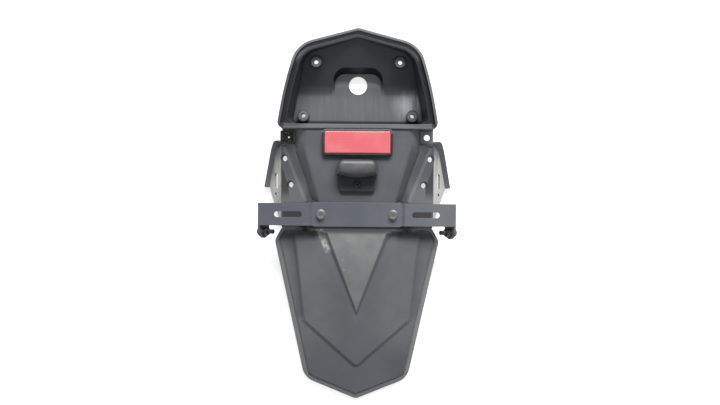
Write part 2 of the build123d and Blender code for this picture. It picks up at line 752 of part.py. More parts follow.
def fender_body():
    """The whole moulding."""
    pockets_out = both_sides(pocket_form(0))
    pockets_in = both_sides(pocket_form(WALL))
    outer = spine_form(0) + pockets_out + pad_form(0) + flap_solid(0)
    inner = spine_form(WALL) + pockets_in + pad_form(WALL) + flap_solid(WALL)
    hollow = bucket_form(0, WALL, RIM_Z + WALL)
    shell = bucket_form(WALL, 0.0, RIM_Z - WALL)
    body = (outer - inner) - rest_cut()
    body += shell
    body += rim()
    body += both_sides(ear() + brim())
    body -= hollow
    body += bosses()
    body -= boss_holes()
    body -= both_sides(pocket_holes())
    body -= panel_holes()
    return body


def hex_prism(across, height):
    """Hexagonal prism standing on Z = 0."""
    return extrude(RegularPolygon(across / 2, 6, major_radius=False), height)


def nut(across, height, thread):
    """Plain hexagon nut standing on Z = 0, its corners turned down."""
    form = hex_prism(across, height)
    cone = Cone(across * 0.64, across * 0.5, height * 0.25)
    turned = Pos(0, 0, height * 0.875) * cone + Pos(0, 0, height * 0.375) * Cylinder(across, height * 0.75)
    return (form & turned) - Cylinder(thread / 2 + THREAD_GAP, 4 * height)


def washer(outer, thread):
    """Flat washer standing on Z = 0."""
    ring = Cylinder(outer / 2, WASHER_T) - Cylinder(thread / 2 + 2 * THREAD_GAP, 2 * WASHER_T)
    return Pos(0, 0, WASHER_T / 2) * ring


def flange_bolt(length):
    """Hexagon flange bolt, head upwards, its flange's underside on Z = 0."""
    flange = Cone(M6_FLANGE_D / 2, M6_HEX / 2, M6_FLANGE_T)
    head = Pos(0, 0, M6_FLANGE_T / 2) * flange + hex_prism(M6_HEX, M6_HEAD_H)
    head = head & (Pos(0, 0, M6_HEAD_H / 2) * chamfered_drum(M6_FLANGE_D, M6_HEAD_H, M6_HEX))
    return head + Pos(0, 0, -length / 2) * Cylinder(M6 / 2, length)


def chamfered_drum(diameter, height, across):
    """Cylinder coned in at the top, to turn down the corners of a hexagon."""
    low = Pos(0, 0, -height * 0.1) * Cylinder(diameter / 2, height * 0.8)
    return low + Pos(0, 0, height * 0.4) * Cone(across * 0.64, across * 0.5, height * 0.2)


def reflector_holder():
    """Black tray of the reflector with a seat for the stud's head."""
    x, y = REFLECTOR_W / 2, REFLECTOR_H / 2
    tray = rounded_block(REFLECTOR_W, REFLECTOR_H, REFLECTOR_T, REFLECTOR_R)
    tray = fillet(tray.faces().sort_by(Axis.Z)[-1].edges(), REFLECTOR_FRAME / 3)
    room = rounded_block(
        2 * (x - REFLECTOR_FRAME),
        2 * (y - REFLECTOR_FRAME),
        REFLECTOR_T,
        REFLECTOR_R - REFLECTOR_FRAME,
    )
    tray -= Pos(0, 0, REFLECTOR_FLOOR) * room
    seat_d = STUD_HEAD_D + 2 * THREAD_GAP
    tray -= drum(0, 0, stud_seat(), REFLECTOR_T, seat_d)
    tray -= drum(0, 0, -1, REFLECTOR_T, STUD_D + 2 * THREAD_GAP)
    return Pos(0, REFLECTOR_Y, PANEL_Z) * tray


def stud_seat():
    """Height of the stud's seat above the tray's back."""
    return REFLECTOR_FLOOR - STUD_HEAD_T - THREAD_GAP


def rounded_block(width, length, height, radius):
    """Block with rounded upright edges, standing on Z = 0."""
    return extrude(RectangleRounded(width, length, radius), height)


def reflector_lens():
    """Red lens in the tray."""
    gap = 2 * (REFLECTOR_FRAME + THREAD_GAP)
    radius = REFLECTOR_R - REFLECTOR_FRAME - THREAD_GAP
    lens = rounded_block(REFLECTOR_W - gap, REFLECTOR_H - gap, LENS_T, radius)
    lens = fillet(lens.faces().sort_by(Axis.Z)[-1].edges(), LENS_EDGE_R)
    return Pos(0, REFLECTOR_Y, PANEL_Z + REFLECTOR_FLOOR) * lens


def reflector_stud():
    """Stud with a flat round head."""
    seat = PANEL_Z + stud_seat()
    low = BACK_Z - WASHER_T - M5_NUT_H - THREAD_OUT
    head = drum(0, REFLECTOR_Y, seat, seat + STUD_HEAD_T, STUD_HEAD_D)
    return head + drum(0, REFLECTOR_Y, low, seat, STUD_D)


def lamp_room_mid():
    """Middle of the room behind the lamp's window."""
    return (HOOD_MOUTH_Y + WINDOW_IN + WINDOW_T + HOOD_TOP_Y - HOOD_WALL) / 2


def lamp_outline(inset, z):
    """Outline of the lamp's base, moved in, at a height."""
    half = LAMP_BASE_W / 2 - inset
    low, top = LAMP_BASE_LOW_Y + inset, LAMP_BASE_TOP_Y - inset
    points = [(-half, low), (half, low), (half, top), (-half, top)]
    return face_of(points, LAMP_BASE_R, z)


def hood():
    """Domed hood with a bowed lower lip."""
    half = HOOD_W / 2
    low = LAMP_FLOOR_Z - HOOD_SINK
    ends = HOOD_MOUTH_Y + HOOD_BOW
    top = HOOD_TOP_Y
    lip = ThreePointArc((-half, ends), (0, HOOD_MOUTH_Y), (half, ends))
    back = FilletPolyline((half, ends), (half, top), (-half, top), (-half, ends), radius=HOOD_R)
    plan = Pos(0, 0, low) * make_face(lip + back)
    form = extrude(plan, HOOD_H + HOOD_SINK, dir=(0, 0, 1))
    crown = form.faces().sort_by(Axis.Z)[-1].edges()
    return fillet(crown, HOOD_TOP_R)


def lamp_room():
    """Hollow under the hood, open at the lip."""
    top = LAMP_FLOOR_Z + HOOD_H - HOOD_WALL
    low = (-LAMP_ROOM_HALF, HOOD_MOUTH_Y - HOOD_BOW, LAMP_FLOOR_Z)
    high = (LAMP_ROOM_HALF, HOOD_TOP_Y - HOOD_WALL - 1, top)
    room = box_between(low, high)
    edges = [e for e in room.edges() if e.center().Z > top - 0.01 and e.center().Y > low[1] + 1]
    return fillet(edges, LAMP_ROOM_R)


def plate_lamp_housing():
    """Base plate and hood of the plate lamp, with a locating peg behind."""
    base = extrude(lamp_outline(0, LAMP_SEAT_Z), LAMP_BASE_T, dir=(0, 0, 1))
    base = fillet(base.faces().sort_by(Axis.Z)[-1].edges(), LAMP_EDGE_R)
    form = base + hood() - lamp_room()
    sink_z = LAMP_FLOOR_Z - LAMP_SINK_DEPTH
    form -= drum(0, LAMP_SCREW_Y, sink_z, RIM_Z + HOOD_H, LAMP_SINK_D)
    form -= drum(0, LAMP_SCREW_Y, 0, RIM_Z + HOOD_H, LAMP_SCREW_D + 2 * THREAD_GAP)
    form -= drum(LAMP_ROOM_HALF / 2, lamp_room_mid(), 0, LAMP_FLOOR_Z + 1, LAMP_WIRE_D)
    return form + drum(0, lamp_room_mid(), LAMP_SEAT_Z - LAMP_PEG_LEN, LAMP_FLOOR_Z, LAMP_PEG_D)


def plate_lamp_gasket():
    """Flat seal under the lamp's base."""
    seal = extrude(lamp_outline(GASKET_INSET, PANEL_Z), GASKET_T, dir=(0, 0, 1))
    seal -= drum(0, LAMP_SCREW_Y, 0, RIM_Z + HOOD_H, LAMP_SCREW_D + 4 * THREAD_GAP)
    seal -= drum(0, lamp_room_mid(), 0, RIM_Z + HOOD_H, LAMP_PEG_D + 2 * THREAD_GAP)
    return seal - drum(LAMP_ROOM_HALF / 2, lamp_room_mid(), 0, RIM_Z + HOOD_H, LAMP_WIRE_D)


def plate_lamp_lens():
    """Clear window that closes the room under the hood."""
    gap = THREAD_GAP
    front = HOOD_MOUTH_Y + WINDOW_IN
    top = LAMP_FLOOR_Z + HOOD_H - HOOD_WALL - gap
    low = (-LAMP_ROOM_HALF + gap, front, LAMP_FLOOR_Z)
    high = (LAMP_ROOM_HALF - gap, front + WINDOW_T, top)
    pane = box_between(low, high)
    corners = [e for e in pane.edges() if e.center().Z > top - 0.01 and abs(e.center().X) > 1]
    return fillet(corners, LAMP_ROOM_R)


def bulb_axis(start):
    """Plane square to the bulb's axis at a place across the lamp."""
    z = LAMP_FLOOR_Z + (HOOD_H - HOOD_WALL) / 2
    return Plane(origin=(start, lamp_room_mid(), z), z_dir=(1, 0, 0))


def plate_lamp_socket():
    """Bulb socket fixed to the end wall of the room."""
    form = extrude(bulb_axis(-LAMP_ROOM_HALF) * Circle(SOCKET_D / 2), SOCKET_LEN)
    return fillet(form.faces().sort_by(Axis.X)[-1].edges(), SOCKET_EDGE_R)


def plate_lamp_bulb():
    """Glass bulb with a round end."""
    start = -LAMP_ROOM_HALF + SOCKET_LEN
    form = extrude(bulb_axis(start) * Circle(BULB_D / 2), BULB_LEN)
    return fillet(form.faces().sort_by(Axis.X)[-1].edges(), BULB_END_R)


def plate_lamp_screw():
    """Pan-head screw sunk in the lamp's base."""
    seat = LAMP_FLOOR_Z - LAMP_SINK_DEPTH
    low = BACK_Z - M5_NUT_H - THREAD_OUT
    head = drum(0, LAMP_SCREW_Y, seat, seat + LAMP_SCREW_HEAD_H, LAMP_SCREW_HEAD_D)
    head = fillet(head.faces().sort_by(Axis.Z)[-1].edges(), LAMP_SCREW_EDGE_R)
    top = seat + LAMP_SCREW_HEAD_H
    for size in ((CROSS_LEN, CROSS_W), (CROSS_W, CROSS_LEN)):
        head -= Pos(0, LAMP_SCREW_Y, top) * Box(*size, LAMP_SCREW_HEAD_H)
    return head + drum(0, LAMP_SCREW_Y, low, seat, LAMP_SCREW_D)


def arm(side):
    """One arm of the bracket with its joggle, from the middle section outwards."""
    t = STRIP_T
    a, b, c = MID_HALF, MID_HALF + JOGGLE_RUN, ARM_END_HALF
    lean = JOGGLE / JOGGLE_RUN
    back = t * (sqrt(1 + lean**2) - 1) / lean
    profile = Polyline(
        (a - 1, PANEL_Z),
        (a + back, PANEL_Z),
        (b + back, ARM_Z),
        (c, ARM_Z),
        (c, ARM_Z + t),
        (b, ARM_Z + t),
        (a, PANEL_Z + t),
        (a - 1, PANEL_Z + t),
        close=True,
    )
    face = Plane(origin=(0, BRACKET_Y, 0), x_dir=(1, 0, 0), z_dir=(0, -1, 0)) * make_face(profile)
    form = extrude(face, ARM_H / 2, both=True)
    return form if side > 0 else mirror(form, about=Plane.YZ)


def tab():
    """Right-hand tab bent back from the end of an arm, rounded below."""
    low_y = BRACKET_Y - ARM_H / 2
    eye_y, eye_z = tab_eye()
    top = ARM_Z + STRIP_T
    points = [
        (low_y + ARM_H * 0.6, top),
        (low_y, top),
        (eye_y - TAB_R * 0.35, eye_z + TAB_R),
        (eye_y - TAB_R, eye_z),
        (eye_y - TAB_R * 0.35, eye_z - TAB_R),
        (eye_y + TAB_R * 0.9, eye_z - TAB_R),
        (low_y + ARM_H * 0.6, top - TAB_R),
    ]
    radii = [1.0, 0, TAB_R * 0.7, TAB_R * 0.7, TAB_R * 0.7, TAB_R * 0.5, 4.0]
    line = FilletPolyline(*points, radius=radii, close=True)
    lie = Plane(origin=(0, 0, 0), x_dir=(0, 1, 0), z_dir=(1, 0, 0))
    lobe = extrude(lie * make_face(line), 2 * ARM_END_HALF)
    slim = STRIP_T / cos(radians(TAB_LEAN))
    deep = TAB_BACK + 2 * TAB_R
    end_x = ARM_END_HALF - deep * tan(radians(TAB_LEAN))
    bend = Polyline(
        (ARM_END_HALF - slim, top),
        (ARM_END_HALF, top),
        (ARM_END_HALF, ARM_Z),
        (end_x, ARM_Z - deep),
        (end_x - slim, ARM_Z - deep),
        (ARM_END_HALF - slim, ARM_Z),
        close=True,
    )
    strip = extrude(Plane.XZ * make_face(bend), LENGTH, both=True)
    return strip & lobe


def tab_eye():
    """Place of the hole in the right-hand tab."""
    return BRACKET_Y - ARM_H / 2 - TAB_DOWN, ARM_Z - TAB_BACK


def tab_plane(inset):
    """Plane at the right-hand tab's hole, facing out, moved in from its outer face."""
    y, z = tab_eye()
    lean = radians(TAB_LEAN)
    x = ARM_END_HALF - TAB_BACK * tan(lean)
    return Plane(origin=(x, y, z), x_dir=(0, 1, 0), z_dir=(cos(lean), 0, -sin(lean))).offset(-inset)


def plate_bracket():
    """Bent steel strip that carries the number plate."""
    t = STRIP_T
    low = (-MID_HALF, BRACKET_Y - MID_H / 2, PANEL_Z)
    high = (MID_HALF, BRACKET_Y + MID_H / 2, PANEL_Z + t)
    form = box_between(low, high)
    form = fillet(form.edges().filter_by(Axis.Z), ARM_R)
    form += arm(1) + tab()
    form += arm(-1) + mirror(tab(), about=Plane.YZ)
    bends = [e for e in form.edges() if e.center().Z > ARM_Z + t - 0.01]
    bends = [e for e in bends if abs(abs(e.center().X) - ARM_END_HALF) < 0.01]
    form = fillet(bends, BEND_R * 0.75)
    slot = Pos(SLOT_HALF, BRACKET_Y, ARM_Z) * extrude(SlotOverall(SLOT_LEN, SLOT_W), 4 * t, both=True)
    hole = drum(PLATE_BOLT_HALF, BRACKET_Y, PANEL_Z - t, PANEL_Z + 2 * t, M6_CLEAR)
    eye = tab_plane(0) * Cylinder(M6_CLEAR / 2, 4 * t)
    return form - both_sides(slot + hole + eye)


def bracket_bolt():
    """Right-hand flange bolt through the bracket."""
    length = STRIP_T + WALL + WASHER_T + M6_NUT_H + THREAD_OUT
    return Pos(PLATE_BOLT_HALF, BRACKET_Y, PANEL_Z + STRIP_T) * flange_bolt(length)


def bracket_washer():
    """Right-hand washer behind the pad."""
    return Pos(PLATE_BOLT_HALF, BRACKET_Y, BACK_Z - WASHER_T) * washer(M6_WASHER_D, M6)


def bracket_nut():
    """Right-hand nut behind the pad."""
    z = BACK_Z - WASHER_T
    return Pos(PLATE_BOLT_HALF, BRACKET_Y, z) * Rot(180, 0, 0) * nut(M6_NUT_HEX, M6_NUT_H, M6)


def tab_bolt():
    """Right-hand bolt through the tab, its head outside."""
    length = STRIP_T + M6_NUT_H + M6_FLANGE_T + TAB_THREAD_OUT
    return tab_plane(0) * flange_bolt(length)


def tab_nut():
    """Right-hand flange nut on the tab's inner face."""
    flange = Pos(0, 0, M6_FLANGE_T / 2) * Cone(M6_FLANGE_D / 2, M6_NUT_HEX / 2, M6_FLANGE_T)
    flange -= Cylinder(M6 / 2 + THREAD_GAP, 4 * M6_NUT_H)
    form = flange + nut(M6_NUT_HEX, M6_NUT_H + M6_FLANGE_T, M6)
    return tab_plane(STRIP_T) * Rot(180, 0, 0) * form


def ear_clip():
    """Spring clip folded over the outer edge of the left ear."""
    y = LIP_Y - EAR_HOLE_FROM_LIP
    back = EAR_Z - WALL
    inner_x = SPINE_FOOT_HALF + CLIP_ROOM
    outer_x = EAR_OUTER_HALF + CLIP_LOOP + CLIP_T
    low = (inner_x, y - CLIP_W / 2, back - CLIP_T)
    high = (outer_x, y + CLIP_W / 2, EAR_Z + CLIP_T)
    form = box_between(low, high)
    loop = [e for e in form.edges().filter_by(Axis.Y) if e.center().X > outer_x - 0.01]
    form = fillet(loop, WALL / 2)
    room = box_between((0, low[1] - 1, back), (EAR_OUTER_HALF + CLIP_LOOP, high[1] + 1, EAR_Z))
    form -= room
    form -= drum(EAR_HOLE_HALF, y, 0, RIM_Z, CLIP_HOLE_D)
    return mirror(form, about=Plane.YZ)


def at_reflector(shape, z):
    """A part moved behind the reflector."""
    return Pos(0, REFLECTOR_Y, z) * shape


def m5_nut(z, y):
    """M5 nut whose upper face is at a height."""
    return Pos(0, y, z) * Rot(180, 0, 0) * nut(M5_NUT_HEX, M5_NUT_H, STUD_D)


def pair(shape):
    """Two separate solids, the shape and its mirror image, as one group."""
    return Compound(children=[*shape.solids(), *mirror(shape, about=Plane.YZ).solids()])


PARTS = {
    "fender_body": fender_body,
    "reflector_lens": reflector_lens,
    "reflector_holder": reflector_holder,
    "reflector_stud": reflector_stud,
    "reflector_washer": lambda: at_reflector(washer(M5_WASHER_D, STUD_D), BACK_Z - WASHER_T),
    "reflector_nut": lambda: m5_nut(BACK_Z - WASHER_T, REFLECTOR_Y),
    "plate_lamp_housing": plate_lamp_housing,
    "plate_lamp_gasket": plate_lamp_gasket,
    "plate_lamp_lens": plate_lamp_lens,
    "plate_lamp_socket": plate_lamp_socket,
    "plate_lamp_bulb": plate_lamp_bulb,
    "plate_lamp_screw": plate_lamp_screw,
    "plate_lamp_nut": lambda: m5_nut(BACK_Z, LAMP_SCREW_Y),
    "plate_bracket": plate_bracket,
    "bracket_bolts": lambda: pair(bracket_bolt()),
    "bracket_washers": lambda: pair(bracket_washer()),
    "bracket_nuts": lambda: pair(bracket_nut()),
    "tab_bolts": lambda: pair(tab_bolt()),
    "tab_nuts": lambda: pair(tab_nut()),
    "ear_clip": ear_clip,
}

os.makedirs("parts", exist_ok=True)
for name, make in PARTS.items():
    export_step(make(), f"parts/{name}.step")
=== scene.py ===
"""Looks of a used motorcycle rear fender lying on its front side under soft studio light."""

import json
from collections import namedtuple
from math import cos, pi, radians, sin

import bpy
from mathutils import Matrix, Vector


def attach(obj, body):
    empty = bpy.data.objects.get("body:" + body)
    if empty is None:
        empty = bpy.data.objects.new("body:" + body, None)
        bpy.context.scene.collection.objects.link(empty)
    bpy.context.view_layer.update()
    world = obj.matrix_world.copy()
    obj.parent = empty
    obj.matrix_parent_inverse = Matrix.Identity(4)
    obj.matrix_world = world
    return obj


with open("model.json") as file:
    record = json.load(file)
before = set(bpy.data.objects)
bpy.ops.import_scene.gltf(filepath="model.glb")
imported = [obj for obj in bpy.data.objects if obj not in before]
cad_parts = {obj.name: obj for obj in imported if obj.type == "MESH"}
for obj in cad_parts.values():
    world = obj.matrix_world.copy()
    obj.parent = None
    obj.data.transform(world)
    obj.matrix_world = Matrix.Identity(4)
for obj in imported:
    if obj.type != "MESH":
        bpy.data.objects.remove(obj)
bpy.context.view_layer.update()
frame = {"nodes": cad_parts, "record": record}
NODES = frame["nodes"]
SUBPARTS = frame["record"]["subparts"]
MOUNTS = {mount["name"]: mount for mount in frame["record"]["mounts"]}
MM = 0.001

# Places of the colours among the mix node's inputs, and of its mixed colour among its outputs
MIX_INPUTS = (6, 7)
MIX_OUTPUT = 2

# Camera, in metres, degrees and millimetres of lens: looks straight down near the middle of the part
CAMERA_AT = (0.0038, 0.0186, 1.088)
CAMERA_ROLL = 0.46
LENS_MM = 40.38
SENSOR_MM = 36.0
CLIP_RANGE = (0.01, 20.0)

# Lights and floor, in metres and watts
KEY_AT = (0.5, 2.85, 2.4)
KEY_SIZE = (2.2, 1.3)
KEY_WATTS = 168.0
WORLD_STRENGTH = 0.33
WORLD_COLOUR = (0.97, 0.985, 1.0)
FLOOR_HALF = 60.0
FLOOR_PAINT = (0.93, 0.93, 0.93)
FLOOR_ROUGH = 0.9
FLOOR_GLOW = 0.65
WHITE = (1.0, 1.0, 1.0)

# Colours, linear, with a few values of their materials
PLASTIC = (0.113, 0.118, 0.133)
# Dark plastic laid as painted shade, and as dirt in a few places
PAINTED_SHADE_AND_DIRT = (0.022, 0.022, 0.026)
PLASTIC_SPREAD = 0.08
# Dust colours, also laid as painted light
DUST_AND_PAINTED_LIGHT = (0.4, 0.4, 0.39)
PALE_DUST_AND_PAINTED_LIGHT = (0.56, 0.555, 0.53)
# A bluish pale colour laid as a patch of painted light on the bucket floor
PATCH_LIGHT = (0.66, 0.68, 0.73)
# Olive dirt, also laid as painted shade in the pockets' creases
OLIVE_DIRT_AND_SHADE = (0.05, 0.052, 0.042)
RESIDUE = (0.62, 0.64, 0.58)
BLACK_PLASTIC = (0.022, 0.023, 0.027)
BLACK_ROUGH = 0.45
PLASTIC_ROUGH_SPREAD = (-0.08, 0.1)
LAMP_BLACK = (0.038, 0.04, 0.047)
SEAL_BLACK = (0.018, 0.018, 0.018)
LENS_RED = (0.93, 0.2, 0.23)
LENS_DEEP_RED = (0.8, 0.14, 0.165)
LENS_FADED = (0.93, 0.34, 0.36)
LENS_PRISMS_PER_M = 520.0
PAINT_BLUE = (0.108, 0.119, 0.148)
PAINT_GREY = (0.128, 0.133, 0.152)
PAINT_RUBBED = (0.3, 0.29, 0.28)
ZINC = (0.5, 0.52, 0.52)
ZINC_STAINED = (0.34, 0.33, 0.3)
# Dirt and painted shade in the zinc's corners; painted shade on the bolts' dished tops
ZINC_DIRT_AND_SHADE = (0.05, 0.045, 0.04)
ZINC_SHADE = (0.09, 0.092, 0.085)
OILY_DARK = (0.035, 0.034, 0.032)
OILY_WORN = (0.13, 0.125, 0.115)
SPRING_DIRT = (0.026, 0.026, 0.021)
SPRING_RUST = (0.095, 0.088, 0.066)
SPRING_BARE = (0.42, 0.42, 0.36)
CLEAR = (0.95, 0.95, 0.95)
CLEAR_DUSTY = (0.75, 0.74, 0.7)
CLEAR_DUSTY_ROUGH = 0.2

# Spans of noise that a share runs over
BROAD = (0.2, 0.8)
HALF = (0.25, 0.75)
MIDDLE = (0.3, 0.7)
BLOTCHY = (0.35, 0.7)
UPPER = (0.4, 0.8)

# Spans across the part, in metres
LEFT_TO_RIGHT = (-0.02, 0.02)
RIGHT_TO_LEFT = LEFT_TO_RIGHT[::-1]

# Faces by the upward part of their normal
FLAT_UP = (0.9, 0.98)
STEEP_UP = (0.7, 0.3)
UPPER_FACES = (-0.08, 0.02)

# Sharp edges by how far a rounded normal agrees with the plain one
SHARP_EDGE = (0.99, 0.86)

# Bucket floor and rim: places in metres, shares of dust, painted light and painted shade
LIP_Y = 0.1131
FLOOR_TOP_Z = 0.0045
FLOOR_Y = (LIP_Y, LIP_Y + 0.008)
FLOOR_Z = (FLOOR_TOP_Z + 0.001, FLOOR_TOP_Z)
FLOOR_STREAKS = (260.0, 22.0, 60.0)
FLOOR_DUST = (0.07, 0.17)
# Painted light on the notch's floor, where the slope's shadow falls
NOTCH_SIDE = (0.033, 0.029)
NOTCH_Y = (0.165, 0.187)
NOTCH_LIGHT = 0.75
RIM_TOP_Z = 0.0486
RIM_Y = (LIP_Y - 0.002, LIP_Y)
RIM_Z = (RIM_TOP_Z, RIM_TOP_Z + 0.0008)
RIM_DUST = 0.22
# A pale streaked patch of painted light on the bucket floor by the right wall
PATCH_LIGHT_AT = (0.069, 0.152, 0.003)
PATCH_LIGHT_SIZE = (0.03, 0.031, 0.02)
PATCH_LIGHT_STREAKS = (170.0, 30.0, 60.0)
PATCH_LIGHT_TURN = 0.55
PATCH_LIGHT_NOISE = (0.4, 0.62)
PATCH_LIGHT_SHARE = (0.5, 1.0)
# Painted shade at the floor's upper end, where it meets the slope
FOOT_SIDE = (0.033, 0.037)
FOOT_Y = (0.157, 0.168)
FOOT_SHADE = (0.0, 0.5)

# Painted shade on the bucket walls, the arch of the notch and the groove of the rim
WALL_Y = (LIP_Y + 0.006, LIP_Y + 0.008)
WALL_Z = (0.007, 0.0485)
WALL_SOFT = 0.0015
WALL_SHADE = (0.3, 0.6)
ARCH_SIDE = (0.036, 0.034)
ARCH_Y = (0.18, 0.21)
ARCH_SOFT = 0.002
ARCH_UP = (0.55, 0.45)
ARCH_SHADE = 0.9
GROOVE_Z = (0.0446, 0.0489)
GROOVE_SOFT = 0.0002
GROOVE_WALL_Z = (0.046, 0.0475)
GROOVE_FLOOR_Z = GROOVE_WALL_Z[::-1]
GROOVE_END_Y = (0.195, 0.212)
GROOVE_OPEN_Y = (0.2, 0.212)
GROOVE_SHADE = 0.85
GROOVE_WALL_SHADE = (0.0, 0.6)
# Painted light on the floor of the groove's open upper end
GROOVE_LIGHT = 0.25
RIM_SIDE = (0.06, 0.08)
RIM_SIDE_Z = (0.03, 0.036)
RIM_SIDE_LOW_Y = (LIP_Y, LIP_Y + 0.005)
RIM_SIDE_HIGH_Y = (0.205, 0.185)
RIM_SIDE_ACROSS = (0.05, -0.05)
RIM_SIDE_SHADE = (0.25, 0.5)
CORNER_Y = (0.1292, 0.1262)
CORNER_LIP_Y = (LIP_Y + 0.006, LIP_Y + 0.007)
CORNER_Z = (0.012, 0.009)
CORNER_SHADE = 0.8

# Bosses of the bucket and the foot of its slope
BOSS_MOUNTS = ("tail_lamp_upper", "tail_lamp_lower")
BOSS_SIZE = (0.0066, 0.0066, 0.01)
BOSS_EDGE = 0.15
BOSS_DUST = 0.28
SLOPE_Y = (0.165, 0.167)
SLOPE_Z = (0.014, 0.004)
SLOPE_SIDE = (0.035, 0.04)
SLOPE_END = (0.072, 0.066)
SLOPE_DUST = 0.06

# Flap: lines are a point on the line, as side and y, and the outward direction
PAD_Y = -0.0185
FLAP_Y = (PAD_Y, PAD_Y - 0.004)
FLAP_CLOUD = (0.7, 1.2)
VEE_TIP_Y = -0.1339
VEE_SPREAD = 0.3726
ON_VEE = (0.0025, 0.0045)
VEE_DUST_Y = (-0.075, -0.025)
VEE_DUST = (0.34, 0.6)
SHOULDER_SIDE = (0.01, 0.05)
SHOULDER_Y = (-0.2, -0.14)
SHOULDER_DUST = (0.0595, 0.17)
FLAP_SIDE = ((0.1077, -0.0313), (0.9787, -0.2053))
FLAP_FOOT = ((0.0689, -0.2163), (0.3765, -0.9264))
BAND_WIDTH = 0.0062
BAND_SOFT = 0.0006
BAND_EDGE = (-BAND_WIDTH - BAND_SOFT, -BAND_WIDTH + BAND_SOFT)
BAND_PALING = 0.2
# Painted shade in the groove beside the shield, heavier on the left
SHIELD_SIDE = ((0.084, -0.0155), (0.9944, -0.1051))
SHIELD_END_Y = (-0.1385, -0.1285)
SHIELD_NEAR = (-0.0045, -0.001)
SHIELD_FAR = (0.012, 0.0)
SHIELD_SHADE = (0.18, 0.32)
RESIDUE_ACROSS = (-0.0085, 0.0005)
RESIDUE_ACROSS_SOFT = 0.0015
RESIDUE_Y = (-0.046, -0.017)
RESIDUE_Y_SOFT = 0.003
RESIDUE_X = (-0.02, -0.025)
RESIDUE_NOISE = (0.4, 0.62)
RESIDUE_SHARE = (0.1, 0.62)
SPECKS = ((-0.0177, -0.0562, 0.037), (-0.0164, -0.0692, 0.037))
SPECK_SIZE = (0.0011, 0.0011, 0.02)
SPECK_EDGE = 0.6
SPECK_SHARE = 0.5

# Spine, its ledge above the flap, and the ears: painted shade on the ledge and walls, painted light above
# the V, under the lip and on the ears
LEDGE_Y = (-0.0184, -0.011)
LEDGE_SOFT = 0.0005
LEDGE_Z = (0.034, 0.036)
LEDGE_SIDE = (0.07, 0.066)
LEDGE_SHADE = 0.3
VEE_TOP_Y = (-0.0212, -0.0187)
VEE_TOP_SIDE = (0.046, 0.043)
VEE_TOP_LIGHT = 0.75
UNDER_LIP_Y = (0.1085, LIP_Y)
UNDER_LIP_SOFT = 0.0006
UNDER_LIP_SIDE = (0.05, 0.042)
UNDER_LIP_LIGHT = 0.3
SPINE_LOW_Y = (0.011, 0.017)
SPINE_HIGH_Y = (0.104, 0.086)
SPINE_SIDE = (0.03, 0.09)
SPINE_SOFT = 0.002
SPINE_UP = (0.85, 0.7)
SPINE_SHADE = (0.5, 0.68)
EAR_Y = (0.097, 0.1125)
EAR_SIDE = (0.076, 0.104)
EAR_SOFT = 0.002
EAR_UP = (0.88, 0.95)
EAR_LIGHT = 0.7

# Side pockets, and the dark stretches behind and below the bracket's arms: painted shadow, with dirt behind
# them
POCKET_TOP_Y = 0.076
POCKET_LOW_Y = (PAD_Y - 0.002, PAD_Y)
POCKET_HIGH_Y = (POCKET_TOP_Y + 0.02, POCKET_TOP_Y - 0.01)
POCKET_Z = (0.0375, 0.0355)
POCKET_SIDE = (0.062, 0.07)
POCKET_DUST_Y = (POCKET_TOP_Y, 0.02)
POCKET_DUST_PART = (0.2, 1.0)
POCKET_DUST = (0.0, 0.3)
CREASE_X = 0.1
CREASE_EDGE = (0.0, 0.0006)
WEDGE_Y = (POCKET_TOP_Y, 0.03)
WEDGE_WIDTH = (0.0, 0.011)
WEDGE_EDGE = (0.0, 0.001)
WEDGE_END_Y = (0.02, 0.036)
WEDGE_DIRT_AND_SHADE = 0.85
BEHIND_ARM_Y = (-0.013, 0.018)
BEHIND_ARM_SIDE = (0.06, CREASE_X - 0.001)
BEHIND_ARM_SOFT = 0.002
BEHIND_ARM_Z = (0.042, 0.04)
BEHIND_ARM_SHADOW_AND_DIRT = 0.8
BELOW_ARM_Y = (-0.029, -0.008)
BELOW_ARM_Y_SOFT = 0.006
BELOW_ARM_SIDE = (0.052, 0.104)
BELOW_ARM_SIDE_SOFT = 0.004
BELOW_ARM_SHADOW = 0.75
RIDGE = ((0.097, 0.0942), (-0.9268, 0.3756))
RIDGE_Y = (0.02, 0.092)
RIDGE_Y_SOFT = 0.004
RIDGE_Z = (0.0385, 0.0365)
# Bands along the ridge, a painted highlight on it and painted shade beside it: where they lie across it,
# their soft edge, share and colour
RIDGE_BANDS = (
    ((-0.003, 0.0004), 0.0008, 0.12, DUST_AND_PAINTED_LIGHT),
    ((-0.03, -0.003), 0.002, 0.16, PAINTED_SHADE_AND_DIRT),
    ((0.0015, 0.009), 0.0012, 0.32, PAINTED_SHADE_AND_DIRT),
)
OUTER_SIDE = (CREASE_X, CREASE_X + 0.0012)
OUTER_UP = (0.9, 0.8)
OUTER_STREAKS = (330.0, 30.0, 60.0)
OUTER_TURN = 0.2
OUTER_DUST = (0.5, 1.0)
OUTER_Y = (0.09, 0.045)
OUTER_Y_DUST = (0.65, 1.0)
# Painted light making the right outer face paler
OUTER_RIGHT_LIGHT = (1.0, 1.6)
# Rings of painted shade round the pockets' holes, for their walls in shade
HOLE_RINGS = ((0.0965, 0.0764, 0.027), (0.0881, 0.042, 0.029))
HOLE_RING_SIZE = (0.0056, 0.0056, 0.02)
HOLE_RING_EDGE = 0.25
HOLE_RING_SHADE = 0.85

# Whole fender: edge dust and specular by painted shade, dirt and painted shade in corners, less where shade
# is lifted
EDGE_BY_SHADE = (0.1, 0.5)
EDGE_DUST = (0.12, 0.0)
SHINE_BY_SHADE = (0.25, 0.8)
SHINE = (0.5, 0.08)
SHADE_LIFTED_SPAN = (0.0, 1.0)
CORNER_DIRT_AND_SHADE = (0.6, 0.15)

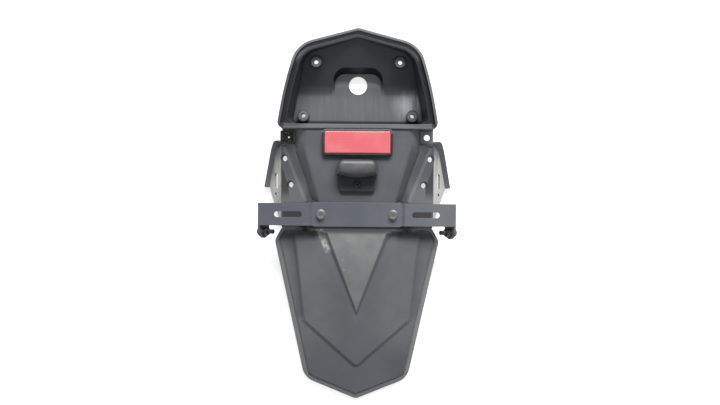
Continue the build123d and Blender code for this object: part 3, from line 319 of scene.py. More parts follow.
# Plate lamp's crown: dust and a painted highlight; reflector holder's top: painted light; bolt heads'
# dished tops: painted shade
CROWN_Y = (0.053, 0.069)
CROWN_SIDE = (0.027, 0.017)
CROWN_Z = (0.06, 0.0695)
CROWN_UP = (0.55, 1.0)
CROWN_DUST_AND_HIGHLIGHT = (0.25, 0.43)
HOLDER_TOP_Y = (0.107, 0.108)
# Painted light on the reflector holder's top, in the lip's shade
HOLDER_TOP_LIGHT = (0.0, 0.25)
BOLT_HEAD = (0.0465, 0.0037, 0.06)
BOLT_DISH = (0.0052, 0.0045, 0.02)
BOLT_DISH_EDGE = 0.4
BOLT_DISH_SHADE = 0.5

# Bracket: painted light growing towards its right end, and streaks of wear
BRACKET_LIGHT_X = (-0.03, 0.1)
BRACKET_LIGHT = (0.0, 0.16)
BRACKET_STREAKS = (30.0, 400.0, 200.0)
BRACKET_RUBBED = (0.55, 0.85)
BRACKET_RUB_SHARE = (0.0, 0.12)

# Dirt caked in the spring clip's hole, in metres
DIRT_AT = (-0.090944, 0.104089, 0.02805)
DIRT_R = 0.0042
DIRT_RAGGED = 0.03
DIRT_WAVES = 5
DIRT_T = 0.0006
DIRT_LUMP = 0.00012
DIRT_LUMPS = 7
DIRT_HOLE_R = 0.0011
DIRT_HOLE_OFF = 0.0008
DIRT_HOLE_RAGGED = 0.3
DIRT_HOLE_WAVES = 3
DIRT_HOLE_TURN = 1.0
DIRT_HOLE_LUMPS = 4
DIRT_POINTS = 32

# What masks read of a point: side is its distance from the middle, folded its place with that side as x,
# and up the upward part of the normal there
Place = namedtuple("Place", "point x y z side folded up")


def node(tree, kind, sockets=None, **settings):
    """A shader node with its settings, and its inputs set to values or linked to outputs."""
    made = tree.nodes.new(kind)
    for name, value in settings.items():
        setattr(made, name, value)
    for name, value in (sockets or {}).items():
        if isinstance(value, bpy.types.NodeSocket):
            tree.links.new(value, made.inputs[name])
        else:
            made.inputs[name].default_value = value
    return made


def calc(tree, operation, a, b=0.0):
    """One calculation with two values."""
    return node(tree, "ShaderNodeMath", {0: a, 1: b}, operation=operation).outputs[0]


def times(tree, *shares):
    """Shares multiplied together."""
    total = shares[0]
    for share in shares[1:]:
        total = calc(tree, "MULTIPLY", total, share)
    return total


def most(tree, *shares):
    """The largest of some shares."""
    top = shares[0]
    for share in shares[1:]:
        top = calc(tree, "MAXIMUM", top, share)
    return top


def ramp(tree, value, span, shares=(0.0, 1.0)):
    """A share that goes smoothly from its first value to its second while a value crosses a span."""
    sockets = {"Value": value, "From Min": span[0], "From Max": span[1]}
    sockets.update({"To Min": shares[0], "To Max": shares[1]})
    return node(tree, "ShaderNodeMapRange", sockets, interpolation_type="SMOOTHSTEP").outputs[0]


def between(tree, value, span, soft):
    """1 between the ends of a span, 0 outside them, with soft ends."""
    low, high = span
    rising = ramp(tree, value, (low - soft, low + soft))
    return times(tree, rising, ramp(tree, value, (high + soft, high - soft)))


def mask(tree, at, **spans):
    """1 where each named part of a place is past its span, 0 where one of them falls short."""
    return times(tree, *(ramp(tree, getattr(at, name), span) for name, span in spans.items()))


def mix(tree, share, a, b):
    """Two colours mixed by a share."""
    made = node(tree, "ShaderNodeMix", {0: share}, data_type="RGBA")
    for place, colour in zip(MIX_INPUTS, (a, b)):
        if isinstance(colour, bpy.types.NodeSocket):
            tree.links.new(colour, made.inputs[place])
        else:
            made.inputs[place].default_value = (*colour, 1.0)
    return made.outputs[MIX_OUTPUT]


def parts_of(tree, vector):
    """The three parts of a vector."""
    return node(tree, "ShaderNodeSeparateXYZ", {0: vector}).outputs


def row_point(tree):
    """The point in the row's frame, in metres."""
    return node(tree, "ShaderNodeTexCoord").outputs["Object"]


def place_of(tree, point, facing="True Normal"):
    """All that the masks read of a point."""
    x, y, z = parts_of(tree, point)
    side = calc(tree, "ABSOLUTE", x)
    folded = node(tree, "ShaderNodeCombineXYZ", {0: side, 1: y, 2: z}).outputs[0]
    up = parts_of(tree, node(tree, "ShaderNodeNewGeometry").outputs[facing])[2]
    return Place(point, x, y, z, side, folded, up)


def stretched(tree, point, scale, turn=0.0):
    """A point with its axes scaled, turned about the upright axis."""
    sockets = {"Vector": point, "Scale": scale, "Rotation": (0.0, 0.0, turn)}
    return node(tree, "ShaderNodeMapping", sockets).outputs[0]


def noise(tree, point, scale=1.0, detail=3.0, rough=0.55):
    """Noise about 0.5, its features about 1 / scale metres wide."""
    sockets = {"Vector": point, "Scale": scale, "Detail": detail, "Roughness": rough}
    return node(tree, "ShaderNodeTexNoise", sockets).outputs["Fac"]


def spot(tree, point, centre, size, edge):
    """1 inside an oval patch, falling to 0 over its edge, a share of its size."""
    away = node(tree, "ShaderNodeVectorMath", {0: point, 1: centre}, operation="SUBTRACT").outputs[0]
    scaled = node(tree, "ShaderNodeVectorMath", {0: away, 1: size}, operation="DIVIDE").outputs[0]
    far = node(tree, "ShaderNodeVectorMath", {0: scaled}, operation="LENGTH").outputs["Value"]
    return ramp(tree, far, (1.0, 1.0 - edge))


def past_line(tree, at, line):
    """How far a place lies outside a line, from a point on the line and its outward direction."""
    (line_side, line_y), (out_side, out_y) = line
    across = calc(tree, "MULTIPLY", calc(tree, "SUBTRACT", at.side, line_side), out_side)
    along = calc(tree, "MULTIPLY", calc(tree, "SUBTRACT", at.y, line_y), out_y)
    return calc(tree, "ADD", across, along)


def bump(tree, height, strength, depth, soften=0.0):
    """A bumped normal from a height, its sharp edges softened by a radius."""
    sockets = {"Height": height, "Strength": strength, "Distance": depth}
    if soften:
        sockets["Normal"] = node(tree, "ShaderNodeBevel", {"Radius": soften}, samples=6).outputs[0]
    return node(tree, "ShaderNodeBump", sockets).outputs[0]


def crevice(tree, reach):
    """1 deep in a corner, 0 in the open."""
    ao = node(tree, "ShaderNodeAmbientOcclusion", {"Distance": reach}, samples=8)
    return calc(tree, "SUBTRACT", 1.0, ao.outputs["AO"])


def edge_mask(tree, radius):
    """1 on sharp outer edges, 0 on flat stretches."""
    soft = node(tree, "ShaderNodeBevel", {"Radius": radius}, samples=6).outputs[0]
    flat = node(tree, "ShaderNodeNewGeometry").outputs["Normal"]
    same = node(tree, "ShaderNodeVectorMath", {0: soft, 1: flat}, operation="DOT_PRODUCT")
    return ramp(tree, same.outputs["Value"], SHARP_EDGE)


def material(name):
    """A new material with its tree and its main shader."""
    made = bpy.data.materials.new(name)
    made.use_nodes = True
    tree = made.node_tree
    return made, tree, tree.nodes["Principled BSDF"]


def connect(tree, shader, **sockets):
    """Links outputs to the shader's inputs, given with underscores for spaces."""
    for name, value in sockets.items():
        tree.links.new(value, shader.inputs[name.replace("_", " ")])


def settle(shader, **sockets):
    """Sets the shader's inputs to plain values, given with underscores for spaces."""
    for name, value in sockets.items():
        shader.inputs[name.replace("_", " ")].default_value = value


def right_hole(name):
    """The right hole of a mount with two holes, in metres."""
    x, y, z = MOUNTS[name]["pos_m"]
    return x + MM * MOUNTS[name]["dims"]["spacing_x_mm"] / 2, y, z


def bucket_floor(tree, at, on_floor, colour):
    """Dust on the bucket's floor and rim, painted light on the notch's floor and in a pale streaked patch,
    and painted shade at the floor's end by the slope.
    """
    streak = noise(tree, stretched(tree, at.point, FLOOR_STREAKS), detail=4.0)
    film = times(tree, on_floor, ramp(tree, streak, BROAD, FLOOR_DUST))
    # Painted light on the notch's floor
    notch = times(tree, on_floor, mask(tree, at, up=FLAT_UP, side=NOTCH_SIDE, y=NOTCH_Y), NOTCH_LIGHT)
    rim = times(tree, mask(tree, at, y=RIM_Y, z=RIM_Z), RIM_DUST)
    colour = mix(tree, most(tree, film, notch, rim), colour, DUST_AND_PAINTED_LIGHT)
    # A pale streaked patch of painted light by the right wall
    wipe = noise(tree, stretched(tree, at.point, PATCH_LIGHT_STREAKS, PATCH_LIGHT_TURN))
    lit_patch = spot(tree, at.point, PATCH_LIGHT_AT, PATCH_LIGHT_SIZE, edge=1.0)
    lit_patch = times(tree, on_floor, lit_patch, ramp(tree, wipe, PATCH_LIGHT_NOISE, PATCH_LIGHT_SHARE))
    colour = mix(tree, lit_patch, colour, PATCH_LIGHT)
    # Painted shade at the floor's end by the slope
    foot = times(tree, on_floor, ramp(tree, at.side, FOOT_SIDE), ramp(tree, at.y, FOOT_Y, FOOT_SHADE))
    return mix(tree, foot, colour, PAINTED_SHADE_AND_DIRT)


def bucket_painted_shade(tree, at, groove):
    """Painted shade on the bucket's walls, the notch's arch, the rim's groove, the rim's sides (heavier on
    the left) and the lower corner.
    """
    walls = times(tree, ramp(tree, at.y, WALL_Y), between(tree, at.z, WALL_Z, WALL_SOFT))
    walls = times(tree, walls, ramp(tree, at.up, STEEP_UP, WALL_SHADE))
    arch = times(tree, between(tree, at.y, ARCH_Y, ARCH_SOFT), mask(tree, at, side=ARCH_SIDE, up=ARCH_UP))
    outside = most(tree, walls, times(tree, arch, ARCH_SHADE))
    outside = times(tree, outside, calc(tree, "SUBTRACT", 1.0, groove))
    groove_end = ramp(tree, at.z, GROOVE_WALL_Z, GROOVE_WALL_SHADE)
    inside = times(tree, groove, ramp(tree, at.y, GROOVE_END_Y, (GROOVE_SHADE, groove_end)))
    sides = mask(tree, at, side=RIM_SIDE, y=RIM_SIDE_LOW_Y, z=RIM_SIDE_Z)
    sides = times(tree, sides, ramp(tree, at.y, RIM_SIDE_HIGH_Y))
    sides = times(tree, sides, ramp(tree, at.x, RIM_SIDE_ACROSS, RIM_SIDE_SHADE))
    corner = times(tree, mask(tree, at, y=CORNER_Y, z=CORNER_Z), ramp(tree, at.y, CORNER_LIP_Y))
    return most(tree, outside, inside, sides, times(tree, corner, CORNER_SHADE))


def bucket_dust(tree, at, open_groove, colour):
    """Dust on the bosses and on the foot of the slope, and painted light on the floor of the groove's upper
    end.
    """
    for name in BOSS_MOUNTS:
        boss = spot(tree, at.folded, right_hole(name), BOSS_SIZE, BOSS_EDGE)
        colour = mix(tree, times(tree, boss, ramp(tree, at.up, FLAT_UP), BOSS_DUST), colour, DUST_AND_PAINTED_LIGHT)
    slope = mask(tree, at, y=SLOPE_Y, z=SLOPE_Z, side=SLOPE_SIDE)
    slope = times(tree, slope, ramp(tree, at.side, SLOPE_END), SLOPE_DUST)
    colour = mix(tree, slope, colour, DUST_AND_PAINTED_LIGHT)
    # Painted light on the groove's floor at its upper end
    groove = times(tree, open_groove, ramp(tree, at.z, GROOVE_FLOOR_Z), GROOVE_LIGHT)
    return mix(tree, groove, colour, DUST_AND_PAINTED_LIGHT)


def inside_vee(tree, at):
    """How far a place lies inside the V, measured across the part."""
    half_width = times(tree, calc(tree, "SUBTRACT", at.y, VEE_TIP_Y), VEE_SPREAD)
    return calc(tree, "SUBTRACT", half_width, at.side)


def flap_looks(tree, at, colour):
    """Dust on the V and the shoulders, a paler edge band, and painted shade in the groove beside the
    shield, heavier on the left.
    """
    flap = ramp(tree, at.y, FLAP_Y)
    cloud = noise(tree, at.point, scale=45.0, detail=4.0)
    vee = times(tree, ramp(tree, inside_vee(tree, at), ON_VEE), ramp(tree, at.y, VEE_DUST_Y, VEE_DUST))
    shoulder = times(tree, ramp(tree, at.side, SHOULDER_SIDE, SHOULDER_DUST), ramp(tree, at.y, SHOULDER_Y))
    film = times(tree, flap, most(tree, vee, shoulder), ramp(tree, cloud, BROAD, FLAP_CLOUD))
    colour = mix(tree, film, colour, DUST_AND_PAINTED_LIGHT)
    edge = most(tree, past_line(tree, at, FLAP_SIDE), past_line(tree, at, FLAP_FOOT))
    colour = mix(tree, times(tree, flap, ramp(tree, edge, BAND_EDGE), BAND_PALING), colour, PALE_DUST_AND_PAINTED_LIGHT)
    # Painted shade in the groove beside the shield, heavier on the left
    off_shield = past_line(tree, at, SHIELD_SIDE)
    groove = times(tree, flap, ramp(tree, off_shield, SHIELD_NEAR), ramp(tree, off_shield, SHIELD_FAR))
    groove = times(tree, groove, ramp(tree, at.y, SHIELD_END_Y))
    groove = times(tree, groove, ramp(tree, at.x, RIGHT_TO_LEFT, SHIELD_SHADE))
    return mix(tree, groove, colour, PAINTED_SHADE_AND_DIRT)


def middle_looks(tree, at, under_lip, ears, colour):
    """Painted shade on the spine's ledge and walls, and painted light above the V, under the lip and on the
    ears.
    """
    ledge = between(tree, at.y, LEDGE_Y, LEDGE_SOFT)
    ledge = times(tree, ledge, mask(tree, at, z=LEDGE_Z, side=LEDGE_SIDE), LEDGE_SHADE)
    colour = mix(tree, ledge, colour, PAINTED_SHADE_AND_DIRT)
    vee_top = times(tree, between(tree, at.y, VEE_TOP_Y, LEDGE_SOFT), ramp(tree, at.side, VEE_TOP_SIDE))
    colour = mix(tree, times(tree, vee_top, VEE_TOP_LIGHT), colour, PALE_DUST_AND_PAINTED_LIGHT)
    colour = mix(tree, times(tree, under_lip, UNDER_LIP_LIGHT), colour, DUST_AND_PAINTED_LIGHT)
    spine = times(tree, mask(tree, at, y=SPINE_LOW_Y, up=SPINE_UP), ramp(tree, at.y, SPINE_HIGH_Y))
    spine = times(tree, spine, between(tree, at.side, SPINE_SIDE, SPINE_SOFT))
    spine = times(tree, spine, ramp(tree, at.x, LEFT_TO_RIGHT, SPINE_SHADE))
    colour = mix(tree, spine, colour, PAINTED_SHADE_AND_DIRT)
    return mix(tree, times(tree, ears, EAR_LIGHT), colour, DUST_AND_PAINTED_LIGHT)


def arm_shade(tree, at, colour):
    """Painted shadow and dirt on the fender behind the bracket's arms, and painted shadow below them."""
    behind = times(
        tree,
        between(tree, at.y, BEHIND_ARM_Y, BEHIND_ARM_SOFT),
        between(tree, at.side, BEHIND_ARM_SIDE, BEHIND_ARM_SOFT),
        ramp(tree, at.z, BEHIND_ARM_Z),
    )
    colour = mix(tree, times(tree, behind, BEHIND_ARM_SHADOW_AND_DIRT), colour, PAINTED_SHADE_AND_DIRT)
    below = times(
        tree,
        between(tree, at.y, BELOW_ARM_Y, BELOW_ARM_Y_SOFT),
        between(tree, at.side, BELOW_ARM_SIDE, BELOW_ARM_SIDE_SOFT),
    )
    return mix(tree, times(tree, below, BELOW_ARM_SHADOW), colour, PAINTED_SHADE_AND_DIRT)


def ridge_bands(tree, at, colour):
    """A painted highlight along the ridge of the pocket's inner face, and painted shade on both sides of
    it.
    """
    ridge = past_line(tree, at, RIDGE)
    beside = times(tree, between(tree, at.y, RIDGE_Y, RIDGE_Y_SOFT), ramp(tree, at.z, RIDGE_Z))
    for span, soft, share, band_colour in RIDGE_BANDS:
        band = times(tree, beside, between(tree, ridge, span, soft), share)
        colour = mix(tree, band, colour, band_colour)
    return colour


def outer_faces(tree, at, pocket, colour):
    """Pale dust in runs down the pocket's outer face, more of it low down, and painted light making the
    right one paler.
    """
    runs = noise(tree, stretched(tree, at.point, OUTER_STREAKS, OUTER_TURN))
    outer = times(tree, pocket, mask(tree, at, side=OUTER_SIDE, up=OUTER_UP))
    outer = times(tree, outer, ramp(tree, runs, MIDDLE, OUTER_DUST))
    outer = times(tree, outer, ramp(tree, at.y, OUTER_Y, OUTER_Y_DUST))
    outer = times(tree, outer, ramp(tree, at.x, LEFT_TO_RIGHT, OUTER_RIGHT_LIGHT))
    return mix(tree, outer, colour, PALE_DUST_AND_PAINTED_LIGHT)


def pocket_looks(tree, at, colour):
    """The pockets: dust low down, dirt and painted shade in the creases, painted highlight and shade by the
    ridge, pale outer faces, painted shade round the holes.
    """
    pocket = mask(tree, at, y=POCKET_LOW_Y, z=POCKET_Z, side=POCKET_SIDE)
    pocket = times(tree, pocket, ramp(tree, at.y, POCKET_HIGH_Y))
    lower = ramp(tree, at.y, POCKET_DUST_Y)
    colour = mix(tree, times(tree, pocket, ramp(tree, lower, POCKET_DUST_PART, POCKET_DUST)), colour, DUST_AND_PAINTED_LIGHT)
    # Dirt and painted shade along the pocket's crease
    deep = calc(tree, "SUBTRACT", CREASE_X, at.side)
    spare = calc(tree, "SUBTRACT", ramp(tree, at.y, WEDGE_Y, WEDGE_WIDTH), deep)
    wedge = times(tree, pocket, ramp(tree, deep, CREASE_EDGE), ramp(tree, spare, WEDGE_EDGE))
    colour = mix(tree, times(tree, wedge, ramp(tree, at.y, WEDGE_END_Y), WEDGE_DIRT_AND_SHADE), colour, OLIVE_DIRT_AND_SHADE)
    colour = arm_shade(tree, at, colour)
    colour = ridge_bands(tree, at, colour)
    colour = outer_faces(tree, at, pocket, colour)
    # Rings of painted shade round the holes
    for centre in HOLE_RINGS:
        ring = spot(tree, at.folded, centre, HOLE_RING_SIZE, HOLE_RING_EDGE)
        colour = mix(tree, times(tree, ring, HOLE_RING_SHADE), colour, PAINTED_SHADE_AND_DIRT)
    return colour


def fender_marks(tree, at, colour):
    """Pale residue beside the V and a few specks on it."""
    strip = between(tree, inside_vee(tree, at), RESIDUE_ACROSS, RESIDUE_ACROSS_SOFT)
    strip = times(tree, strip, between(tree, at.y, RESIDUE_Y, RESIDUE_Y_SOFT), ramp(tree, at.x, RESIDUE_X))
    blot = noise(tree, at.point, scale=150.0, rough=0.5)
    colour = mix(tree, times(tree, strip, ramp(tree, blot, RESIDUE_NOISE, RESIDUE_SHARE)), colour, RESIDUE)
    for centre in SPECKS:
        speck = spot(tree, at.point, centre, SPECK_SIZE, SPECK_EDGE)
        colour = mix(tree, times(tree, speck, SPECK_SHARE), colour, RESIDUE)
    return colour


def fender_plastic():
    """Dark grey moulded plastic with dust and scuffs on its upper faces, and painted light and painted
    shade laid on them.
    """
    made, tree, shader = material("fender_plastic")
    at = place_of(tree, row_point(tree))
    cloud = noise(tree, at.point, scale=18.0, detail=4.0)
    grain = noise(tree, at.point, scale=1400.0, detail=2.0)
    deep, pale = (tuple(c * (1.0 + turn * PLASTIC_SPREAD) for c in PLASTIC) for turn in (-1, 1))
    bare = mix(tree, ramp(tree, cloud, MIDDLE), deep, pale)

    on_floor = mask(tree, at, y=FLOOR_Y, z=FLOOR_Z)
    groove = times(tree, ramp(tree, at.y, WALL_Y), between(tree, at.z, GROOVE_Z, GROOVE_SOFT))
    open_groove = times(tree, groove, ramp(tree, at.y, GROOVE_OPEN_Y))
    under_lip = between(tree, at.y, UNDER_LIP_Y, UNDER_LIP_SOFT)
    under_lip = times(tree, under_lip, ramp(tree, at.side, UNDER_LIP_SIDE))
    ears = times(tree, between(tree, at.y, EAR_Y, EAR_SOFT), between(tree, at.side, EAR_SIDE, EAR_SOFT))
    ears = times(tree, ears, ramp(tree, at.up, EAR_UP))
    # Painted shade of the bucket's walls, arch, groove, rim sides and lower corner
    bucket_shade = bucket_painted_shade(tree, at, groove)

    dust_light_and_shade = bucket_floor(tree, at, on_floor, bare)
    dust_light_and_shade = mix(tree, bucket_shade, dust_light_and_shade, PAINTED_SHADE_AND_DIRT)
    dust_light_and_shade = bucket_dust(tree, at, open_groove, dust_light_and_shade)
    dust_light_and_shade = flap_looks(tree, at, dust_light_and_shade)
    dust_light_and_shade = middle_looks(tree, at, under_lip, ears, dust_light_and_shade)
    dust_light_and_shade = pocket_looks(tree, at, dust_light_and_shade)
    edges = times(tree, edge_mask(tree, radius=0.0009), ramp(tree, bucket_shade, EDGE_BY_SHADE, EDGE_DUST))
    dust_light_and_shade = mix(tree, edges, dust_light_and_shade, DUST_AND_PAINTED_LIGHT)
    # Dirt and painted shade in the corners, less of them on the bucket floor, under the lip, in the
    # groove's open end and on the ears
    shade_lifted = most(tree, on_floor, under_lip, open_groove, ears)
    corners = times(tree, crevice(tree, reach=0.012), ramp(tree, shade_lifted, SHADE_LIFTED_SPAN, CORNER_DIRT_AND_SHADE))
    dust_light_and_shade = mix(tree, corners, dust_light_and_shade, PAINTED_SHADE_AND_DIRT)
    dust_light_and_shade = fender_marks(tree, at, dust_light_and_shade)

    connect(tree, shader, Base_Color=mix(tree, ramp(tree, at.up, UPPER_FACES), bare, dust_light_and_shade))
    connect(tree, shader, Roughness=ramp(tree, cloud, HALF, shares=(0.42, 0.6)))
    connect(tree, shader, Specular_IOR_Level=ramp(tree, bucket_shade, SHINE_BY_SHADE, SHINE))
    connect(tree, shader, Normal=bump(tree, grain, strength=0.25, depth=0.0003, soften=0.0008))
    return made


def plain_plastic(name, base, rough, light_span=None):
    """Moulded plastic with a fine grain and a little dust, and painted light past a span along y."""
    made, tree, shader = material(name)
    point = row_point(tree)
    cloud = noise(tree, point, scale=60.0, detail=4.0)
    grain = noise(tree, point, scale=1800.0, detail=2.0)
    colour = mix(tree, ramp(tree, cloud, UPPER, shares=(0.0, 0.1)), base, DUST_AND_PAINTED_LIGHT)
    if light_span:
        # Painted light past the span
        y = parts_of(tree, point)[1]
        colour = mix(tree, ramp(tree, y, light_span, HOLDER_TOP_LIGHT), colour, DUST_AND_PAINTED_LIGHT)
    edge_dust = 0.15
    colour = mix(tree, times(tree, edge_mask(tree, radius=0.0006), edge_dust), colour, DUST_AND_PAINTED_LIGHT)
    connect(tree, shader, Base_Color=colour)
    rough_span = [rough + more for more in PLASTIC_ROUGH_SPREAD]
    connect(tree, shader, Roughness=ramp(tree, cloud, BROAD, rough_span))
    connect(tree, shader, Normal=bump(tree, grain, strength=0.2, depth=0.0002, soften=0.0006))
    return made


def lamp_plastic():
    """Black plastic of the plate lamp, its rounded top greyed by dust and a painted highlight."""
    made, tree, shader = material("lamp_plastic")
    at = place_of(tree, row_point(tree), facing="Normal")
    cloud = noise(tree, at.point, scale=70.0, detail=4.0)
    grain = noise(tree, at.point, scale=1800.0, detail=2.0)
    crown = mask(tree, at, y=CROWN_Y, side=CROWN_SIDE, z=CROWN_Z, up=CROWN_UP)
    colour = mix(tree, times(tree, crown, ramp(tree, cloud, BROAD, CROWN_DUST_AND_HIGHLIGHT)), LAMP_BLACK, DUST_AND_PAINTED_LIGHT)
    edge_dust = 0.3
    colour = mix(tree, times(tree, edge_mask(tree, radius=0.0008), edge_dust), colour, DUST_AND_PAINTED_LIGHT)
    connect(tree, shader, Base_Color=colour)
    connect(tree, shader, Roughness=ramp(tree, cloud, BROAD, shares=(0.35, 0.5)))
    connect(tree, shader, Normal=bump(tree, grain, strength=0.2, depth=0.0002, soften=0.0006))
    return made


def red_lens():
    """Red lens with rows of fine prisms behind a glossy face."""
    made, tree, shader = material("red_lens")
    point = row_point(tree)
    sockets = {"Vector": point, "Scale": LENS_PRISMS_PER_M, "Randomness": 0.0}
    cell = node(tree, "ShaderNodeTexVoronoi", sockets).outputs["Distance"]
    cloud = noise(tree, point, scale=40.0)
    colour = mix(tree, ramp(tree, cell, BROAD), LENS_RED, LENS_DEEP_RED)
    colour = mix(tree, ramp(tree, cloud, UPPER, shares=(0.0, 0.3)), colour, LENS_FADED)
    connect(tree, shader, Base_Color=colour)
    connect(tree, shader, Normal=bump(tree, cell, strength=0.15, depth=0.0004))
    settle(shader, Roughness=0.32, Coat_Weight=0.35, Coat_Roughness=0.16)
    return made


def bracket_paint():
    """Satin blue-grey paint on steel, worn at its edges, with painted light growing towards its right end.
    """
    made, tree, shader = material("bracket_paint")
    point = row_point(tree)
    cloud = noise(tree, point, scale=30.0, detail=5.0)
    grain = noise(tree, point, scale=900.0)
    rub = noise(tree, stretched(tree, point, BRACKET_STREAKS), detail=4.0)
    x = parts_of(tree, point)[0]
    colour = mix(tree, ramp(tree, cloud, MIDDLE), PAINT_BLUE, PAINT_GREY)
    # Painted light, paler towards the right end
    colour = mix(tree, ramp(tree, x, BRACKET_LIGHT_X, BRACKET_LIGHT), colour, DUST_AND_PAINTED_LIGHT)
    colour = mix(tree, ramp(tree, rub, BRACKET_RUBBED, BRACKET_RUB_SHARE), colour, DUST_AND_PAINTED_LIGHT)
    edge_rub = 0.35
    colour = mix(tree, times(tree, edge_mask(tree, radius=0.0006), edge_rub), colour, PAINT_RUBBED)
    connect(tree, shader, Base_Color=colour)
    connect(tree, shader, Roughness=ramp(tree, cloud, HALF, shares=(0.36, 0.55)))
    connect(tree, shader, Normal=bump(tree, grain, strength=0.12, depth=0.0002, soften=0.0006))
    return made


def zinc():
    """Dulled zinc plating with stains, dirt and painted shade in its corners, and painted shade on the
    dished tops of the bracket's bolts.
    """
    made, tree, shader = material("zinc")
    at = place_of(tree, row_point(tree))
    cloud = noise(tree, at.point, scale=220.0, detail=5.0)
    colour = mix(tree, ramp(tree, cloud, BLOTCHY), ZINC, ZINC_STAINED)
    corner_dirt_and_shade = 0.8
    colour = mix(tree, times(tree, crevice(tree, reach=0.004), corner_dirt_and_shade), colour, ZINC_DIRT_AND_SHADE)
    dished = spot(tree, at.folded, BOLT_HEAD, BOLT_DISH, BOLT_DISH_EDGE)
    colour = mix(tree, times(tree, dished, BOLT_DISH_SHADE), colour, ZINC_SHADE)
    connect(tree, shader, Base_Color=colour)
    connect(tree, shader, Roughness=ramp(tree, cloud, MIDDLE, shares=(0.32, 0.55)))
    settle(shader, Metallic=0.85)
    return made


def oily_steel():
    """Dark, dirty steel of the lamp's screw and the end tabs' bolts and nuts."""
    made, tree, shader = material("oily_steel")
    point = row_point(tree)
    cloud = noise(tree, point, scale=300.0, detail=5.0)
    grain = noise(tree, point, scale=1200.0)
    connect(tree, shader, Base_Color=mix(tree, ramp(tree, cloud, BLOTCHY), OILY_DARK, OILY_WORN))
    connect(tree, shader, Roughness=ramp(tree, cloud, MIDDLE, shares=(0.4, 0.65)))
    connect(tree, shader, Normal=bump(tree, grain, strength=0.3, depth=0.0002))
    settle(shader, Metallic=0.6)
    return made


def rusty_spring():
    """Spring steel under brown and greenish dirt, with bare specks."""
    made, tree, shader = material("rusty_spring")
    point = row_point(tree)
    cloud = noise(tree, point, scale=260.0, detail=5.0)
    fine = noise(tree, point, scale=900.0, detail=4.0)
    specks = noise(tree, point, scale=380.0)
    colour = mix(tree, ramp(tree, cloud, span=(0.35, 0.65)), SPRING_DIRT, SPRING_RUST)
    colour = mix(tree, ramp(tree, specks, span=(0.56, 0.66), shares=(0.0, 0.65)), colour, SPRING_BARE)
    connect(tree, shader, Base_Color=colour)
    connect(tree, shader, Roughness=ramp(tree, fine, MIDDLE, shares=(0.5, 0.85)))
    connect(tree, shader, Normal=bump(tree, fine, strength=0.5, depth=0.0004))
    settle(shader, Metallic=0.25)
    return made


def clear_plastic(name, rough):
    """Clear window or bulb glass with a film of dust."""
    made, tree, shader = material(name)
    film = noise(tree, row_point(tree), scale=120.0, detail=4.0)
    connect(tree, shader, Base_Color=mix(tree, ramp(tree, film, UPPER), CLEAR, CLEAR_DUSTY))
    rough_span = (rough, rough + CLEAR_DUSTY_ROUGH)
    connect(tree, shader, Roughness=ramp(tree, film, span=(0.3, 0.8), shares=rough_span))
    settle(shader, Transmission_Weight=0.9, IOR=1.47)
    return made


def floor():
    """White floor that keeps the object's shadow."""
    mesh = bpy.data.meshes.new("floor")
    h = FLOOR_HALF
    mesh.from_pydata([(-h, -h, 0), (h, -h, 0), (h, h, 0), (-h, h, 0)], [], [(0, 1, 2, 3)])
    made = bpy.data.objects.new("floor", mesh)
    bpy.context.scene.collection.objects.link(made)
    paint, tree, shader = material("floor_paint")
    settle(shader, Base_Color=(*FLOOR_PAINT, 1.0), Roughness=FLOOR_ROUGH, Emission_Color=(*WHITE, 1.0))
    rays = node(tree, "ShaderNodeLightPath").outputs
    seen = most(tree, *(rays[f"Is {kind} Ray"] for kind in ("Camera", "Glossy", "Transmission")))
    connect(tree, shader, Emission_Strength=times(tree, seen, FLOOR_GLOW))
    mesh.materials.append(paint)


def lights():
    """A large soft lamp from the upper end and an even dim surround."""
    lamp = bpy.data.lights.new("key", "AREA")
    lamp.shape = "RECTANGLE"
    lamp.size, lamp.size_y = KEY_SIZE
    lamp.energy = KEY_WATTS
    made = bpy.data.objects.new("key", lamp)
    made.location = KEY_AT
    made.rotation_euler = (-Vector(KEY_AT)).to_track_quat("-Z", "Y").to_euler()
    bpy.context.scene.collection.objects.link(made)
    world = bpy.data.worlds.new("surround")
    world.use_nodes = True
    settle(world.node_tree.nodes["Background"], Strength=WORLD_STRENGTH, Color=(*WORLD_COLOUR, 1.0))
    bpy.context.scene.world = world


def camera():
    """The photograph's view, straight down."""
    data = bpy.data.cameras.new("camera")
    data.lens = LENS_MM
    data.sensor_width = SENSOR_MM
    data.clip_start, data.clip_end = CLIP_RANGE
    made = bpy.data.objects.new("camera", data)
    made.location = CAMERA_AT
    made.rotation_euler = (0.0, 0.0, radians(CAMERA_ROLL))
    bpy.context.scene.collection.objects.link(made)
    bpy.context.scene.camera = made


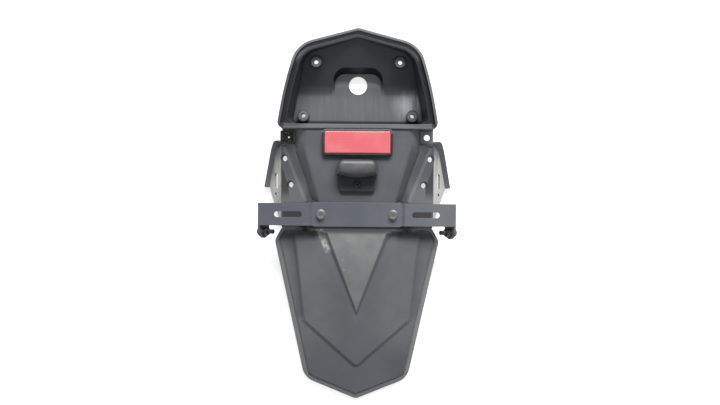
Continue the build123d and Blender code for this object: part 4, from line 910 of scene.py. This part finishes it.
def clip_dirt(paint):
    """Caked dirt that nearly fills the hole of the spring clip on the left ear."""
    at_x, at_y, at_z = DIRT_AT
    points, faces = [], []
    for i in range(DIRT_POINTS):
        turn = 2 * pi * i / DIRT_POINTS
        outer = DIRT_R * (1.0 - DIRT_RAGGED * (1.0 + sin(DIRT_WAVES * turn)))
        inner = DIRT_HOLE_R * (1.0 + DIRT_HOLE_RAGGED * sin(DIRT_HOLE_WAVES * turn + DIRT_HOLE_TURN))
        for radius, off, lumps in ((outer, 0.0, DIRT_LUMPS), (inner, DIRT_HOLE_OFF, DIRT_HOLE_LUMPS)):
            x = at_x + off + radius * cos(turn)
            y = at_y - off + radius * sin(turn)
            high = at_z + DIRT_T + DIRT_LUMP * sin(lumps * turn)
            points += [(x, y, at_z), (x, y, high)]
        # Each step has four points: low and high on the outer edge, low and high on the hole's edge
        a, b = 4 * i, 4 * ((i + 1) % DIRT_POINTS)
        faces += [(a, b, b + 1, a + 1), (a + 2, a + 3, b + 3, b + 2)]
        faces += [(a + 1, b + 1, b + 3, a + 3), (a, a + 2, b + 2, b)]
    mesh = bpy.data.meshes.new("clip_dirt")
    mesh.from_pydata(points, [], faces)
    mesh.materials.append(paint)
    made = bpy.data.objects.new("clip_dirt", mesh)
    bpy.context.scene.collection.objects.link(made)
    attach(made, "root")


def dress():
    """Gives every CAD node its material: that of its slot, or its own."""
    by_slot = {
        "fender_plastic": fender_plastic(),
        "red_lens": red_lens(),
        "black_plastic": plain_plastic("black_plastic", BLACK_PLASTIC, BLACK_ROUGH),
        "zinc": zinc(),
        "seal_rubber": plain_plastic("seal_rubber", SEAL_BLACK, rough=0.8),
        "clear_window": clear_plastic("clear_window", rough=0.12),
        "bulb_glass": clear_plastic("bulb_glass", rough=0.03),
        "bracket_paint": bracket_paint(),
        "rusty_spring": rusty_spring(),
    }
    own = {
        "plate_lamp_housing": lamp_plastic(),
        "reflector_holder": plain_plastic("holder_plastic", BLACK_PLASTIC, BLACK_ROUGH, HOLDER_TOP_Y),
    }
    own.update(dict.fromkeys(("plate_lamp_screw", "tab_bolts", "tab_nuts"), oily_steel()))
    slots = {part["node"]: part["material_slot"] for part in SUBPARTS}
    for name, piece in NODES.items():
        piece.data.materials.clear()
        piece.data.materials.append(own.get(name, by_slot[slots[name]]))
    clip_dirt(by_slot["rusty_spring"])


floor()
lights()
camera()
dress()
bpy.context.scene.view_settings.view_transform = "Standard"
